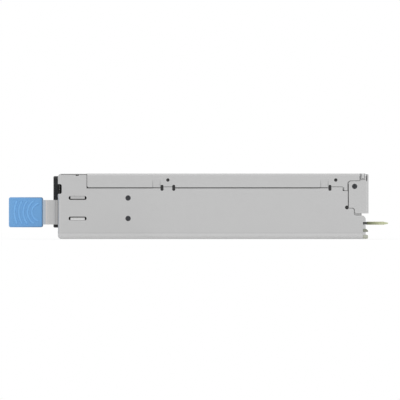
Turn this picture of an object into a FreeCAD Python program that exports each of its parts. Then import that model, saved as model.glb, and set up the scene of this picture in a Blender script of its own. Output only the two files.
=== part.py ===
import FreeCAD, Part
import math
import os

# Hot swap server power supply. Millimetres, +Z up.
# Origin: centre of the steel case's bottom face. +X runs from the handle end to the card edge.

# ---------------------------------------------------------------- driving dimensions
# case
CASE_LENGTH = 185.0
CASE_WIDTH = 73.5
CASE_HEIGHT = 39.0
SHEET = 0.8                 # steel thickness of tray, cover and end cap
BEND = 2.0                  # outside radius of the tray's bends
SEAM = 0.3                  # gap between two sheet edges that meet
LAP_GAP = 0.1               # gap between two lapped sheets
FIT = 0.2                   # gap round a piece that drops into an opening
HAIR = 0.1                  # least clearance between two pieces that stay put
TINY = 0.01                 # tolerance when edges are picked
SMALL_ROUND = 0.5           # rounding of small moulded corners

# case for which the inside is laid out: places and sizes inside stretch with the case's own size
LAYOUT_LENGTH = 185.0
LAYOUT_WIDTH = 73.5
LAYOUT_HEIGHT = 39.0
LONG = CASE_LENGTH / LAYOUT_LENGTH
WIDE = CASE_WIDTH / LAYOUT_WIDTH
HIGH = CASE_HEIGHT / LAYOUT_HEIGHT
SLIM = min(LONG, WIDE, HIGH)

# tray
FRONT_LENGTH = 17.1         # part of the top that belongs to the tray
FRONT_DROP = 0.15           # how far that part lies below the cover
FRONT_GROOVE = 0.3          # fold line along the top's edge
FRONT_GROOVE_DROP = 0.35    # below the front part's top
FRONT_GROOVE_DEPTH = 0.5
TRAY_SETBACK = 1.7          # tray's end, inside the case's length
TRAY_LOW_END = 14.0         # height of the walls at the connector end
CORNER_ROUND = 2.4
END_SHELF = 3.6             # length of the wall's shelf under the end cap's flange
END_CURVE = 1.2             # radius of its curves
LAP_TOP_GAP = 0.3           # lap's top edge below the cover
JOGGLE_RISE = 0.6
STEP_X = 12.3               # end cap's flange starts this far before the end
STEP_Z = 18.2               # height where the tall wall gives way to the end cap
RELIEF_R = 1.15
CAP_SEAM = 0.5              # gap between the wall and the end cap's flange

# cover
COVER_FLANGE = 8.3
COVER_BEND = 1.2
COVER_SETBACK = 5.3         # cover's flange ends this far before the case's end
COVER_END_LAND = 4.2        # height of the cover's flange over the end cap
COVER_FOOT = 1.8            # how far the flange's last stretch reaches down
COVER_FOOT_LENGTH = 2.2
COVER_FOOT_SLIT = 0.9       # upright slit before the foot

# lock points, where cover and tray hook together
LOCK_FIRST = 65.5           # from the face
LOCK_LAST = 19.5            # second one, before the case's end
LOCK_HOLE_R = 1.0
LOCK_HOLE_DROP = 3.9        # hole centre below the top
LOCK_TAB = 5.2
LOCK_NOTCH = 1.8
LOCK_NOTCH_LOW = 2.0        # notch's reach below the seam
LOCK_NOTCH_HIGH = 1.5       # and above it
LOCK_TAB_RISE = 0.5
LOCK_PRESS_LENGTH = 4.8
LOCK_PRESS_DEPTH = 0.45

# end cap
CAP_DROP = 0.4              # end plate's top below the case's top
CAP_LOW = 15.2
CAP_SCREW_X = 8.3           # screw centre before the case's end
CAP_SCREW_DROP = 7.7
VENT_ACROSS = 3.8           # hexagon, flat to flat
VENT_WEB = 1.2
VENT_ROWS = 4
CAP_NOTCH_X = 3.35          # notch's middle before the case's end
CAP_NOTCH = 3.2
CAP_NOTCH_LOW = 3.9         # notch's floor below the case's top
CAP_SLOT = 0.7              # slot between the flange's edge and the end plate
CAP_SLOT_LOW = 4.5
TONGUE = 1.7                # cover's tongue that drops into the notch
TONGUE_LENGTH = 2.9
COVER_TOP_END = 1.7         # top plate ends this far before the case's end

# lanced tabs, notches and screws in the fan side wall
LANCE_X = 6.4               # from the face
LANCE_LENGTH = 10.7
LANCE_HEIGHT = 2.2
LANCE_UPPER_Z = 24.4
LANCE_LOWER_Z = 12.2
LANCE_TILT = 22.0
FACE_NOTCH_Z = 29.75
FACE_NOTCH_HEIGHT = 5.9
FACE_NOTCH_DEPTH = 2.3
FACE_NOTCH_ROUND = 4.5      # and its reach round the corner onto the face
TOP_NOTCH_X = 10.6
TOP_NOTCH_LENGTH = 1.8
TOP_NOTCH_DEPTH = 0.9
TOP_NOTCH_DROP = 0.3        # below the front part's top
LANCE_END_GAP = 1.1
LANCE_SCORE = 0.2           # bend line at the tab's root
WALL_SCREW_X = 41.8
WALL_SCREW_HEAD_R = 1.6
SCREW_HEAD = 0.7            # height of the flat heads
SCREW_R = 1.0
SCREW_LENGTH = 3.4

# fan
FAN_DEPTH = 28.0 * LONG
FAN_SETBACK = 1.0           # fan's front behind the face plate
FAN_WALL_GAP = 0.9
FAN_TOP_GAP = 0.65
FAN_CORNER = 2.5
FAN_WALL = 1.0              # duct between bore and frame's side
FAN_FLANGE = 4.0
FAN_HOLE_R = 1.5
FAN_TIP_GAP = 0.4
HUB_R = 9.2
HUB_WALL = 1.0
HUB_FRONT = 2.0
HUB_LENGTH = 19.0
BLADE_COUNT = 7
BLADE_ROOT_DEPTH = 13.0     # along the fan's axis
BLADE_TIP_DEPTH = 10.0
BLADE_THICK = 0.9
BLADE_ROOT_ANGLE = 48.0     # chord from the fan's axis
BLADE_TIP_ANGLE = 62.0
BLADE_CAMBER = 0.12
SHAFT_R = 1.25
SHAFT_GAP = 0.03
BEARING_R = 3.4
BEARING_WIDTH = 2.4
TUBE_WALL = 0.8
TUBE_GAP = 1.0              # between the hub's boss and the bearing tube
MAGNET_THICK = 0.9
MAGNET_LENGTH = 9.5
AIR_GAP = 0.3
STATOR_LENGTH = 6.0
LAMINATION = 0.7            # width of the core's ring and of a pole's shoe
LAMINATION_LAP = 0.3
POLE_WIDTH = 1.6
SHOE_HALF = 3.2
COIL = 0.9                  # depth of wire round a pole
COIL_GAP = 0.05
COIL_END = 0.4
STATOR_POLES = 4
FAN_BASE = 2.4
FAN_BOARD = 1.0
STRUT_WIDTH = 2.2
STRUT_COUNT = 4

# grille in the face
GRILLE_RIM = 1.7            # from the grille's rim to the fan's side
GRILLE_ACROSS = 3.7
GRILLE_WEB = 0.8

# handle
HANDLE_REACH = 27.9         # strap's bow in front of the face
HANDLE_Z = 15.9
STRAP_HEIGHT = 14.6
STRAP = 1.5
STRAP_BEND = 0.8
STRAP_INSET = 4.3           # legs' outside, inside the fan's side
STRAP_JOGGLE = 0.5
STRAP_RAMP = 1.2
STRAP_JOGGLE_X = 6.7
STRAP_FOOT = 4.4            # beyond the leg
RIVET_R = 1.15
RIVET_HEAD_R = 1.7
RIVET_HEAD = 0.8            # cone sunk in the strap's foot
RIVET_TAIL = 0.5
RIVET_PITCH = 8.0
GRIP_LENGTH = 20.2
GRIP_HEIGHT = 17.9
GRIP_WALL = 1.4
GRIP_CORNER = 4.0
GRIP_EDGE = 1.0
RIDGE_COUNT = 5
RIDGE_PITCH = 2.6
RIDGE_WIDTH = 0.9
RIDGE_HEIGHT = 0.35
RIDGE_FIRST_R = 6.0

# inlet
INLET_SIDE = 19.65          # inlet's middle from the far wall's outside
INLET_Z = 22.1 * HIGH
FLANGE_HEIGHT = 30.8 * HIGH
FLANGE_WIDTH = 23.6
FLANGE_THICK = 3.0
FLANGE_CORNER = 1.6
INLET_BODY_HEIGHT = 27.2 * HIGH
INLET_BODY_WIDTH = 19.8
INLET_DEPTH = 20.0 * LONG   # body behind the face
SOCKET_HEIGHT = 24.2
SOCKET_WIDTH = 16.4
SOCKET_DEPTH = 17.5
SOCKET_CHAMFER = 4.6
PIN_WIDTH = 4.0
PIN_THICK = 2.0
PIN_PITCH = 7.0
PIN_LENGTH = 15.5
PIN_TAIL = 9.0
LIVE_SHIFT = 1.6            # live and neutral pins off the socket's middle
EARTH_SHIFT = 2.4
CATCH = 0.7

# status light
LIGHT_Z = 31.0 * HIGH
LIGHT_R = 1.2
LIGHT_COLLAR_R = 1.6
LIGHT_LENGTH = 14.0
LIGHT_STAND = 0.25          # nose of the light, in front of the face

# release latch
LATCH_PIVOT_X = 36.0 * LONG # from the face
LATCH_PIVOT_DEPTH = 3.05    # inside the wall's inner face
LATCH_ARM = 1.0
LATCH_ARM_DEPTH = 2.65      # arm's inner face, from the wall's
LATCH_Z = 16.0
LATCH_HEIGHT = 12.6
LATCH_HUB_R = 1.95
LATCH_PIN_R = 1.2
LATCH_PIN_GAP = 0.05
LATCH_TRAVEL = 5.5          # degrees
HOOK_X = 8.0
HOOK_LENGTH = 4.6
HOOK_REACH = 1.8            # beyond the wall
HOOK_HEIGHT = 9.0
HOOK_TIP = 1.4
HOOK_ROUND = 0.4
TAB_REACH = 15.0
TAB_START = 3.6
TAB_THICK = 3.2
TAB_HEIGHT = 13.6
BRACKET_LENGTH = 9.0 * LONG
EAR_REACH = 5.6
EAR_ROUND = 1.5
SPRING_WIRE = 0.4
SPRING_TURNS = 4
SPRING_PITCH = 0.36         # turns pressed together
SPRING_LEG_R = 0.17
PIN_HEAD_R = 1.9
PIN_HEAD = 0.8

# main board
BOARD_THICK = 1.6
BOARD_Z = 8.55 * HIGH       # underside
BOARD_START = 31.0 * LONG
BOARD_SIDE_GAP = 1.6
BOARD_END_GAP = 4.0
CARD_WIDTH = 42.0
CARD_REACH = 11.8           # beyond the case
BOARD_EAR = 1.3             # ear in the wall's notch, before the tray's end
BOARD_EAR_REACH = 0.9       # and beyond it
BOARD_EAR_DEPTH = 3.0
CARD_BEVEL = 2.4
CARD_TIP = 0.7
CARD_ROOT_ROUND = 1.0
CARD_KEY_Y = 6.0
CARD_KEY = 1.6
CARD_KEY_DEPTH = 7.0
PAD_THICK = 0.08
PAD_START = 0.6             # pads begin this far inside the case's end
POWER_PADS = 3
POWER_PAD = 7.2
SIGNAL_PADS = 10
SIGNAL_PAD = 0.9
PAD_GAP = 0.55
POST_R = 2.5
POST_INSET = 4.6 * WIDE
POST_FIRST = 48.0 * LONG
POST_LAST = 8.5             # before the case's end
BOARD_SCREW_R = 1.35
BOARD_SCREW_HEAD_R = 2.3
BOARD_SCREW_HEAD = 1.4
FILM = 0.3
FILM_BEND = 1.0
FILM_START = 48.0 * LONG           # where its sides begin, from the face

# guide below the card edge
GUIDE_BACK = 1.3
GUIDE_LIP = 1.4             # beyond the tray's end
GUIDE_LOW_LIP = 2.4
GUIDE_HIGH_LIP_Z = 4.2
GUIDE_TOP = 6.0
GUIDE_LIP_THICK = 0.9       # before its slope
GUIDE_SLOPE = 1.2
GUIDE_ROUND = 0.6
GUIDE_NECK_ROUND = 0.4
GUIDE_EAR = 1.6             # lip's reach into the wall's notches

# bracket, screws and small parts near the front
BRACKET_LIP = 5.0
DRIVE_R = 0.55              # recess for the driver
TAB_RIBS = 4
TAB_RIB_PITCH = 1.8
TAB_RIB_START = 2.6
TAB_CORNER = 2.0
TAB_EDGE = 0.6
EAR_GAP = 0.3
SPRING_ROOM = 2.0
SPRING_LEG = 2.6

# inlet side of the circuit
INLET_BOARD_GAP = 3.0       # behind the inlet's body
INLET_BOARD_THICK = 1.6
LINK = 1.2
EARTH_LINK = 1.8
LINK_START = 3.0            # behind the board's front edge
LINK_PITCH = 2.4
FUSE_R = 2.6
FUSE_LENGTH = 20.0 * LONG
FUSE_CAP = 5.0 * LONG
FUSE_X = 52.0 * LONG
CLIP = 0.5
CLIP_MOUTH = 1.82
EMI_X = 45.5 * LONG
EMI_Y = 17.0 * WIDE
EMI_R = 11.0 * SLIM
EMI_THICK = 8.0 * LONG
EMI_BORE = 5.0 * SLIM
EMI_WIRE = 1.2
EMI_SPLIT = 2.0             # between the two windings
EMI_WOUND = 0.8             # wound share of the height
EMI_BASE = 1.6              # base, as a share of the radius
X_CAP = (9.0 * LONG, 22.0 * WIDE, 17.0 * HIGH)
X_CAP_X = 57.0 * LONG
X_CAP_Y = 16.0 * WIDE
X_CAP_ROUND = 0.8
Y_CAP_R = 4.2 * SLIM
Y_CAP_THICK = 3.6 * LONG
Y_CAP_X = 66.5 * LONG
Y_CAP_PITCH = 12.0 * WIDE
RELAY = (16.0 * LONG, 12.0 * WIDE, 15.0 * HIGH)
RELAY_X = 81.5 * LONG
RELAY_Y = 28.0 * WIDE

# power parts
BULK_R = 12.6 * SLIM
BULK_LENGTH = 29.0 * LONG
BULK_COUNT = 2
BULK_X = 49.0 * LONG
BULK_Y = -20.6 * WIDE
BULK_GROOVE = 3.4 * LONG
BULK_GROOVE_R = 0.9
BULK_GROOVE_OUT = 0.4
BULK_GAP = 1.0
BULK_ROUND = 1.2
CRADLE_SHARE = 1.4
SADDLE = 3.0
BRIDGE = (5.0 * LONG, 22.0 * WIDE, 16.0 * HIGH)
BRIDGE_X = 71.0 * LONG
BRIDGE_Y = 6.0 * WIDE
BRIDGE_ROUND = 0.4
BRIDGE_HOLE_R = 1.53
BRIDGE_HOLE_SHARE = 0.7
BRIDGE_PITCH_SHARE = 0.24
LEAD = 0.9
LEAD_HEIGHT = 3.0
PFC_R = 12.8 * SLIM
PFC_BORE = 6.4 * SLIM
PFC_WIRE = 1.3
PFC_BASE = 1.2              # base, as a share of the radius
PFC_BASE_HEIGHT = SADDLE * 1.3
PFC_BASE_GAP = 0.05
PFC_THICK = 11.0 * WIDE
PFC_X = 91.0 * LONG
PFC_Y = 11.0 * WIDE
PFC_TURNS = 20
SINK_X = 91.5 * LONG
SINK_LENGTH = 38.0 * LONG
SINK_BASE = 2.4
SINK_HEIGHT = 24.0 * HIGH
SINK_FINS = 6
SINK_FIN = 1.2
SINK_FIN_REACH = 5.0
SWITCH = (10.2 * LONG, 4.6, 16.0 * HIGH)
SWITCH_COUNT = 3
SWITCH_TAB = 1.2
SWITCH_TAB_RISE = 4.0
LEG_PITCH = 2.54
RESONANT = (16.0 * LONG, 20.0 * WIDE, 20.0 * HIGH)
RESONANT_X = 119.5 * LONG
RESONANT_Y = -22.0 * WIDE
RESONANT_YOKE = 3.5 * HIGH
RESONANT_LEG_R = 3.6 * SLIM
CORE = (26.0 * LONG, 32.0 * WIDE, 25.0 * HIGH)
CORE_X = 143.0 * LONG
CORE_Y = -15.5 * WIDE
CORE_YOKE = 5.0 * HIGH
CORE_ROUND = 1.0
CORE_WINDOW_STEP = 2.0      # side windows, narrower than the winding's room
CORE_LEG_R = 6.5 * SLIM
WINDING_R = 11.8 * SLIM
SPOOL_STEP = 0.8
SPOOL_LAP = 1.0
STANDBY = (16.0 * LONG, 14.0 * WIDE, 15.0 * HIGH)
STANDBY_X = 119.5 * LONG
STANDBY_Y = 2.0 * WIDE
STANDBY_LEG = 3.0
STANDBY_YOKE = 3.5
CONTROL_LENGTH = 44.0 * LONG
CONTROL_HEIGHT = 22.0 * HIGH
CONTROL_X = 134.0 * LONG
CONTROL_Y = 15.0 * WIDE
CONTROL_THICK = 1.2
CHIP = (7.0, 1.2, 7.0)
CHIP_COUNT = 4
OUTPUT_BOARD = (1.6, 38.0 * WIDE, 22.0 * HIGH)
OUTPUT_X = 157.6 * LONG
OUTPUT_Y = -13.0 * WIDE
OUTPUT_CHIP = (1.1, 5.2, 6.0)
OUTPUT_CHIPS = 5
BAR_THICK = 2.0
BAR_HEIGHT = 7.0
BAR_PITCH = 12.0 * WIDE
BAR_COUNT = 3
OUTPUT_CAP_R = 4.0 * SLIM
OUTPUT_CAP_HEIGHT = 16.0 * HIGH
OUTPUT_CAP_X = 168.2 * LONG
OUTPUT_CAP_Y = 23.0 * WIDE
OUTPUT_CAP_PITCH = 9.2 * SLIM
OUTPUT_CAP_ROWS = 2
OUTPUT_CAP_COUNT = 3
HEADER = (5.0, 7.5, 4.0)
HEADER_Y = -4.0
LEAD_R = 0.45
LEAD_BEND_SHARE = 0.45

# ---------------------------------------------------------------- places that follow
FACE_X = -CASE_LENGTH / 2
END_X = CASE_LENGTH / 2
HALF = CASE_WIDTH / 2
INNER = HALF - SHEET
LAP_OUT = INNER - LAP_GAP
LAP_IN = LAP_OUT - SHEET
PLATE_X = FACE_X + SHEET
FRONT_TOP = CASE_HEIGHT - FRONT_DROP
FRONT_X = FACE_X + FRONT_LENGTH
TRAY_END = END_X - TRAY_SETBACK
SEAM_Z = CASE_HEIGHT - COVER_FLANGE
WALL_TOP = SEAM_Z - JOGGLE_RISE
LAP_TOP = CASE_HEIGHT - SHEET - LAP_TOP_GAP
STEP = END_X - STEP_X
COVER_END = END_X - COVER_SETBACK
CAP_TOP = CASE_HEIGHT - CAP_DROP
INLET_Y = HALF - INLET_SIDE
FLANGE_SIDE = INLET_Y - FLANGE_WIDTH / 2
LIGHT_ROOM = 2 * LIGHT_COLLAR_R + 2 * FIT
FAN_TALL = FRONT_TOP - 2 * SHEET - FAN_TOP_GAP
FAN_WIDE = FLANGE_SIDE - LIGHT_ROOM + INNER - FAN_WALL_GAP
FAN_SIZE = min(FAN_TALL, FAN_WIDE)
FAN_X = PLATE_X + FAN_SETBACK
FAN_Y = -INNER + FAN_WALL_GAP + FAN_SIZE / 2
FAN_Z = SHEET + FAN_SIZE / 2 + FIT / 4
FAN_BACK = FAN_X + FAN_DEPTH
BORE_R = FAN_SIZE / 2 - FAN_WALL
GRILLE_R = FAN_SIZE / 2 - GRILLE_RIM
STRAP_SPAN = FAN_SIZE - 2 * STRAP_INSET
LIGHT_Y = FLANGE_SIDE - LIGHT_ROOM / 2
FILM_OUT = LAP_IN - FIT
FILM_IN = FILM_OUT - FILM
FILM_END = STEP + RELIEF_R
SINK_Y = FILM_IN - FIT - SINK_BASE - SINK_FIN_REACH
FUSE_Y = FILM_IN - FIT - FUSE_R - CLIP
FOOT_X = STEP - COVER_FOOT_LENGTH
BOARD_TOP = BOARD_Z + BOARD_THICK
CARD_END = END_X + CARD_REACH
PIVOT_X = FACE_X + LATCH_PIVOT_X
LATCH_PIVOT_Y = INNER - LATCH_PIVOT_DEPTH
LATCH_ARM_Y = INNER - LATCH_ARM_DEPTH
LATCH_LOW = LATCH_Z - LATCH_HEIGHT / 2
LATCH_TOP = LATCH_Z + LATCH_HEIGHT / 2

os.makedirs("parts", exist_ok=True)

X = FreeCAD.Vector(1, 0, 0)
Y = FreeCAD.Vector(0, 1, 0)
Z = FreeCAD.Vector(0, 0, 1)


# ---------------------------------------------------------------- helpers
def box(x0, x1, y0, y1, z0, z1):
    corner = FreeCAD.Vector(x0, y0, z0)
    return Part.makeBox(x1 - x0, y1 - y0, z1 - z0, corner)


def rod(radius, start, axis, length):
    return Part.makeCylinder(radius, length, FreeCAD.Vector(*start), axis)


def ring(outer, inner, start, axis, length):
    return rod(outer, start, axis, length).cut(rod(inner, start, axis, length))


def outline(corners):
    """Closed wire in the XY plane from corners (u, v) or (u, v, radius)."""
    points = [FreeCAD.Vector(c[0], c[1], 0) for c in corners]
    radii = [c[2] if len(c) > 2 else 0 for c in corners]
    edges = []
    arcs = []
    for i, corner in enumerate(points):
        before = points[i - 1] - corner
        after = points[(i + 1) % len(points)] - corner
        before.normalize()
        after.normalize()
        if radii[i] <= 0:
            arcs.append((corner, None, corner))
            continue
        half = before.getAngle(after) / 2
        reach = radii[i] / math.tan(half)
        middle = before + after
        middle.normalize()
        depth = radii[i] / math.sin(half) - radii[i]
        arcs.append((corner + before * reach, corner + middle * depth, corner + after * reach))
    for i, (start, middle, end) in enumerate(arcs):
        if middle:
            edges.append(Part.Arc(start, middle, end).toShape())
        following = arcs[(i + 1) % len(arcs)][0]
        if end.distanceToPoint(following) > 1e-6:
            edges.append(Part.makeLine(end, following))
    return Part.Wire(edges)


def slab(corners, plane, start, end):
    """Outline pushed from start to end: plane XY along Z, XZ along Y, YZ along X."""
    face = Part.Face(outline(corners))
    direction = Z
    if plane == "XZ":
        face.rotate(FreeCAD.Vector(), X, 90)
        direction = Y
    if plane == "YZ":
        face.rotate(FreeCAD.Vector(), FreeCAD.Vector(1, 1, 1), 120)
        direction = X
    face.translate(direction * start)
    return face.extrude(direction * (end - start))


def rectangle(u0, u1, v0, v1, radius=0.0):
    return [(u0, v0, radius), (u1, v0, radius), (u1, v1, radius), (u0, v1, radius)]


def fuse(shapes):
    whole = shapes[0]
    if len(shapes) > 1:
        whole = whole.multiFuse(shapes[1:])
    return whole.removeSplitter()


def cut(shape, tools):
    return shape.cut(Part.makeCompound(tools)) if len(tools) > 1 else shape.cut(tools[0])


def both_sides(shape):
    return [shape, shape.mirror(FreeCAD.Vector(), Y)]


def filleted(shape, radius, wanted):
    edges = [e for e in shape.Edges if wanted(e)]
    return shape.makeFillet(radius, edges)


def save(node, shapes):
    solids = []
    for shape in shapes if isinstance(shapes, list) else [shapes]:
        solids += shape.Solids
    whole = solids[0] if len(solids) == 1 else Part.makeCompound(solids)
    whole.exportStep("parts/" + node + ".step")
    print(node, len(solids), round(whole.Volume, 1), "ok" if whole.isValid() else "INVALID")


def turned(shape, axis, degrees, centre):
    copy = shape.copy()
    copy.rotate(FreeCAD.Vector(*centre), axis, degrees)
    return copy


def hexagon_holes(plane_x, depth, centre_y, centre_z, across, web, inside):
    """Hexagonal holes along X on a staggered grid, where inside(y, z) says so."""
    pitch = across + web
    row = pitch * math.sqrt(3) / 2
    reach = int(CASE_WIDTH / row)
    holes = []
    for j in range(-reach, reach + 1):
        shift = (j % 2) * pitch / 2
        for i in range(-reach, reach + 1):
            y = centre_y + i * pitch + shift
            z = centre_z + j * row
            if inside(y, z):
                holes.append(hexagon(plane_x, depth, y, z, across))
    return holes


def hexagon(x, depth, y, z, across):
    radius = across / math.sqrt(3)
    corners = []
    for k in range(6):
        angle = math.radians(60 * k + 30)
        corners.append((y + radius * math.cos(angle), z + radius * math.sin(angle)))
    return slab(corners, "YZ", x, x + depth)


def bent_strip(path, thickness, radius):
    """Outline of a bent sheet: path is one face, the sheet lies to its left."""
    points = [FreeCAD.Vector(p[0], p[1], 0) for p in path]
    other = []
    near = []
    for i, point in enumerate(points):
        ahead = (points[i + 1] - point) if i + 1 < len(points) else None
        behind = (point - points[i - 1]) if i > 0 else None
        sides = [Z.cross(d).normalize() for d in (behind, ahead) if d is not None]
        if len(sides) == 1:
            near.append((point.x, point.y))
            far = point + sides[0] * thickness
            other.append((far.x, far.y))
            continue
        middle = (sides[0] + sides[1]).normalize()
        far = point + middle * (thickness / middle.dot(sides[0]))
        left_turn = behind.cross(ahead).z > 0
        near.append((point.x, point.y, radius + thickness if left_turn else radius))
        other.append((far.x, far.y, radius if left_turn else radius + thickness))
    return near + other[::-1]


# ---------------------------------------------------------------- tray
def tray_end_path():
    """Top and end of the side wall at the connector end, as (x, z)."""
    return [
        (STEP, STEP_Z),
        (STEP + END_SHELF, STEP_Z, END_CURVE),
        (STEP + END_SHELF, TRAY_LOW_END, END_CURVE),
        (TRAY_END, TRAY_LOW_END, CORNER_ROUND),
        (TRAY_END, 0),
    ]


def lock_points():
    return [FACE_X + LOCK_FIRST, END_X - LOCK_LAST]


def tab_end(x):
    """Where a lock tab stops: the last one runs on to the slit before the cover's foot."""
    if x == lock_points()[-1]:
        return FOOT_X - COVER_FOOT_SLIT
    return x + LOCK_TAB / 2


def lock_notches(x, y0, y1):
    """The relief notches beside a lock tab, through y0 to y1."""
    low = SEAM_Z - LOCK_NOTCH_LOW
    high = SEAM_Z + LOCK_NOTCH_HIGH
    start = x - LOCK_TAB / 2
    starts = [start - LOCK_NOTCH]
    if x != lock_points()[-1]:
        starts.append(tab_end(x))
    corner = LOCK_NOTCH / 2 - HAIR
    return [slab(rectangle(a, a + LOCK_NOTCH, low, high, corner), "XZ", y0, y1) for a in starts]


def lock_hole(x, y0, y1):
    return rod(LOCK_HOLE_R, (x, y0, CASE_HEIGHT - LOCK_HOLE_DROP), Y, y1 - y0)


def tray_shell():
    """Bottom, walls and face folded from one sheet, with the short top behind the face."""
    long_end = TRAY_END + BEND * 2
    outer = box(FACE_X, long_end, -HALF, HALF, 0, FRONT_TOP)
    inner = box(PLATE_X, long_end, -INNER, INNER, SHEET, FRONT_TOP - SHEET)

    def folds(edge):
        bounds = edge.BoundBox
        along_top = bounds.ZMin > FRONT_TOP / 2 and bounds.YLength < 1 and bounds.ZLength < 1
        return edge.BoundBox.XMin < long_end - 1 and not along_top

    shell = filleted(outer, BEND, folds).cut(filleted(inner, BEND - SHEET, folds))
    shell = shell.cut(box(FRONT_X, long_end, -HALF, HALF, WALL_TOP, CASE_HEIGHT))
    past_end = tray_end_path() + [(long_end + 1, 0), (long_end + 1, CASE_HEIGHT), (STEP, CASE_HEIGHT)]
    high = FRONT_TOP - FRONT_GROOVE_DROP
    groove = box(FACE_X + BEND, FRONT_X, -HALF, FRONT_GROOVE_DEPTH - HALF, high - FRONT_GROOVE, high)
    return cut(shell, [slab(past_end, "XZ", -HALF, HALF)] + both_sides(groove))


def wall_lap():
    """Upper edge of a side wall, joggled inward to lie behind the cover's flange."""
    outer = -HALF
    joggle = WALL_TOP + JOGGLE_RISE
    profile = [
        (outer, WALL_TOP - SHEET),
        (outer, WALL_TOP),
        (-LAP_OUT, joggle),
        (-LAP_OUT, LAP_TOP),
        (-LAP_IN, LAP_TOP),
        (-LAP_IN, joggle - SHEET / 2),
        (outer + SHEET, WALL_TOP - SHEET),
    ]
    return slab(profile, "YZ", FRONT_X + SEAM * 2, STEP)


def end_lap():
    """End of a side wall, joggled inward to lie behind the end cap's flange."""
    outer = -HALF
    start = STEP - SHEET - LAP_GAP
    profile = [
        (start - SHEET, outer),
        (start, outer),
        (STEP, -LAP_OUT),
        (TRAY_END - CORNER_ROUND, -LAP_OUT),
        (TRAY_END - CORNER_ROUND, -LAP_IN),
        (STEP - SHEET / 2, -LAP_IN),
        (start - SHEET, outer + SHEET),
    ]
    lap = slab(profile, "XY", TRAY_LOW_END - SHEET, SEAM_Z)
    over = box(STEP - SHEET / 2, END_X - COVER_TOP_END - HAIR, -LAP_OUT, -LAP_IN, WALL_TOP, LAP_TOP - HAIR)
    return lap.fuse(over)


def lance(z, opening_up):
    """A tab cut free on three sides and pressed inward: its slot and its strip."""
    x0 = FACE_X + LANCE_X
    x1 = x0 + LANCE_LENGTH
    z0 = z - LANCE_HEIGHT / 2
    z1 = z + LANCE_HEIGHT / 2
    slot = slab(rectangle(x0, x1, z0, z1, LANCE_HEIGHT / 2 - HAIR), "XZ", -HALF, -INNER)
    low = z0 if opening_up else z0 + SEAM
    high = z1 - SEAM if opening_up else z1
    strip = box(x0 + LANCE_END_GAP, x1 - LANCE_END_GAP, -HALF, -INNER, low, high)
    root = z0 if opening_up else z1
    lean = -LANCE_TILT if opening_up else LANCE_TILT
    return slot, turned(strip, X, lean, (x0, -HALF, root))


def lance_score(z):
    """Bend line pressed into the wall along a tab's root."""
    x0 = FACE_X + LANCE_X + LANCE_END_GAP
    x1 = FACE_X + LANCE_X + LANCE_LENGTH - LANCE_END_GAP
    return box(x0, x1, -HALF, LANCE_SCORE - HALF, z - LANCE_SCORE / 2, z + LANCE_SCORE / 2)


def face_openings():
    """Holes of the face plate: grille, inlet, status light, latch slot, rivets."""
    depth = SHEET * 3
    start = FACE_X - SHEET
    limit = GRILLE_R - GRILLE_ACROSS / 2

    def in_grille(y, z):
        return math.hypot(y - FAN_Y, z - FAN_Z) < limit

    tools = hexagon_holes(start, depth, FAN_Y, FAN_Z, GRILLE_ACROSS, GRILLE_WEB, in_grille)
    y_half = INLET_BODY_WIDTH / 2 + FIT / 2
    z_half = INLET_BODY_HEIGHT / 2 + FIT / 2
    window = rectangle(INLET_Y - y_half, INLET_Y + y_half, INLET_Z - z_half, INLET_Z + z_half)
    tools.append(slab(window, "YZ", start, start + depth))
    tools.append(rod(LIGHT_R + FIT / 2, (start, LIGHT_Y, LIGHT_Z), X, depth))
    arm_travel = math.tan(math.radians(LATCH_TRAVEL)) * LATCH_PIVOT_X
    slot = rectangle(LATCH_ARM_Y - arm_travel - 2 * FIT, LATCH_ARM_Y + LATCH_ARM + FIT,
                     LATCH_LOW - 2 * FIT, LATCH_TOP + 2 * FIT)
    tools.append(slab(slot, "YZ", start, start + depth))
    for y, z in rivet_places():
        tools.append(rod(RIVET_R, (start, y, z), X, depth))
    return tools


def hook_window():
    x0 = FACE_X + HOOK_X - 4 * FIT
    x1 = FACE_X + HOOK_X + HOOK_LENGTH + 4 * FIT
    z_half = HOOK_HEIGHT / 2 + 2 * FIT
    return slab(rectangle(x0, x1, LATCH_Z - z_half, LATCH_Z + z_half, 4 * FIT), "XZ", LAP_IN, HALF + 1)


def fan_wall_notches():
    """Notch in the face edge, notch in the top edge and screw holes of the fan's wall."""
    z0 = FACE_NOTCH_Z - FACE_NOTCH_HEIGHT / 2
    z1 = FACE_NOTCH_Z + FACE_NOTCH_HEIGHT / 2
    reach = FACE_X + FACE_NOTCH_DEPTH
    edge = slab(rectangle(FACE_X - FACE_NOTCH_DEPTH, reach, z0, z1, FACE_NOTCH_DEPTH / 2), "XZ",
                -HALF - 1, FACE_NOTCH_ROUND - HALF)
    x0 = FACE_X + TOP_NOTCH_X
    z2 = FRONT_TOP - TOP_NOTCH_DROP
    top = box(x0, x0 + TOP_NOTCH_LENGTH, -HALF, SHEET - INNER, z2 - TOP_NOTCH_DEPTH, z2)
    screws = [rod(SCREW_R, (x, -HALF, z), Y, SHEET) for x, z in wall_screw_places()]
    seats = [screw_seat(x, z) for x, z in wall_screw_places()]
    return [edge, top] + screws + seats


def wall_screw_places():
    return [(FACE_X + WALL_SCREW_X, LANCE_UPPER_Z), (FACE_X + WALL_SCREW_X, LANCE_LOWER_Z)]


def screw_seat(x, z):
    """Cone that a flat screw head lies in."""
    return Part.makeCone(WALL_SCREW_HEAD_R, SCREW_R, SCREW_HEAD, FreeCAD.Vector(x, -HALF, z), Y)


def guide_notches():
    """Notches in the walls' end edges that take the lips of the guide and the board's ears."""
    ends = [(-1, GUIDE_LOW_LIP), (GUIDE_HIGH_LIP_Z, GUIDE_TOP), (BOARD_Z - FIT, BOARD_TOP + FIT)]
    return [box(TRAY_END - GUIDE_EAR, END_X, -HALF, HALF, z0, z1) for z0, z1 in ends]


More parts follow.
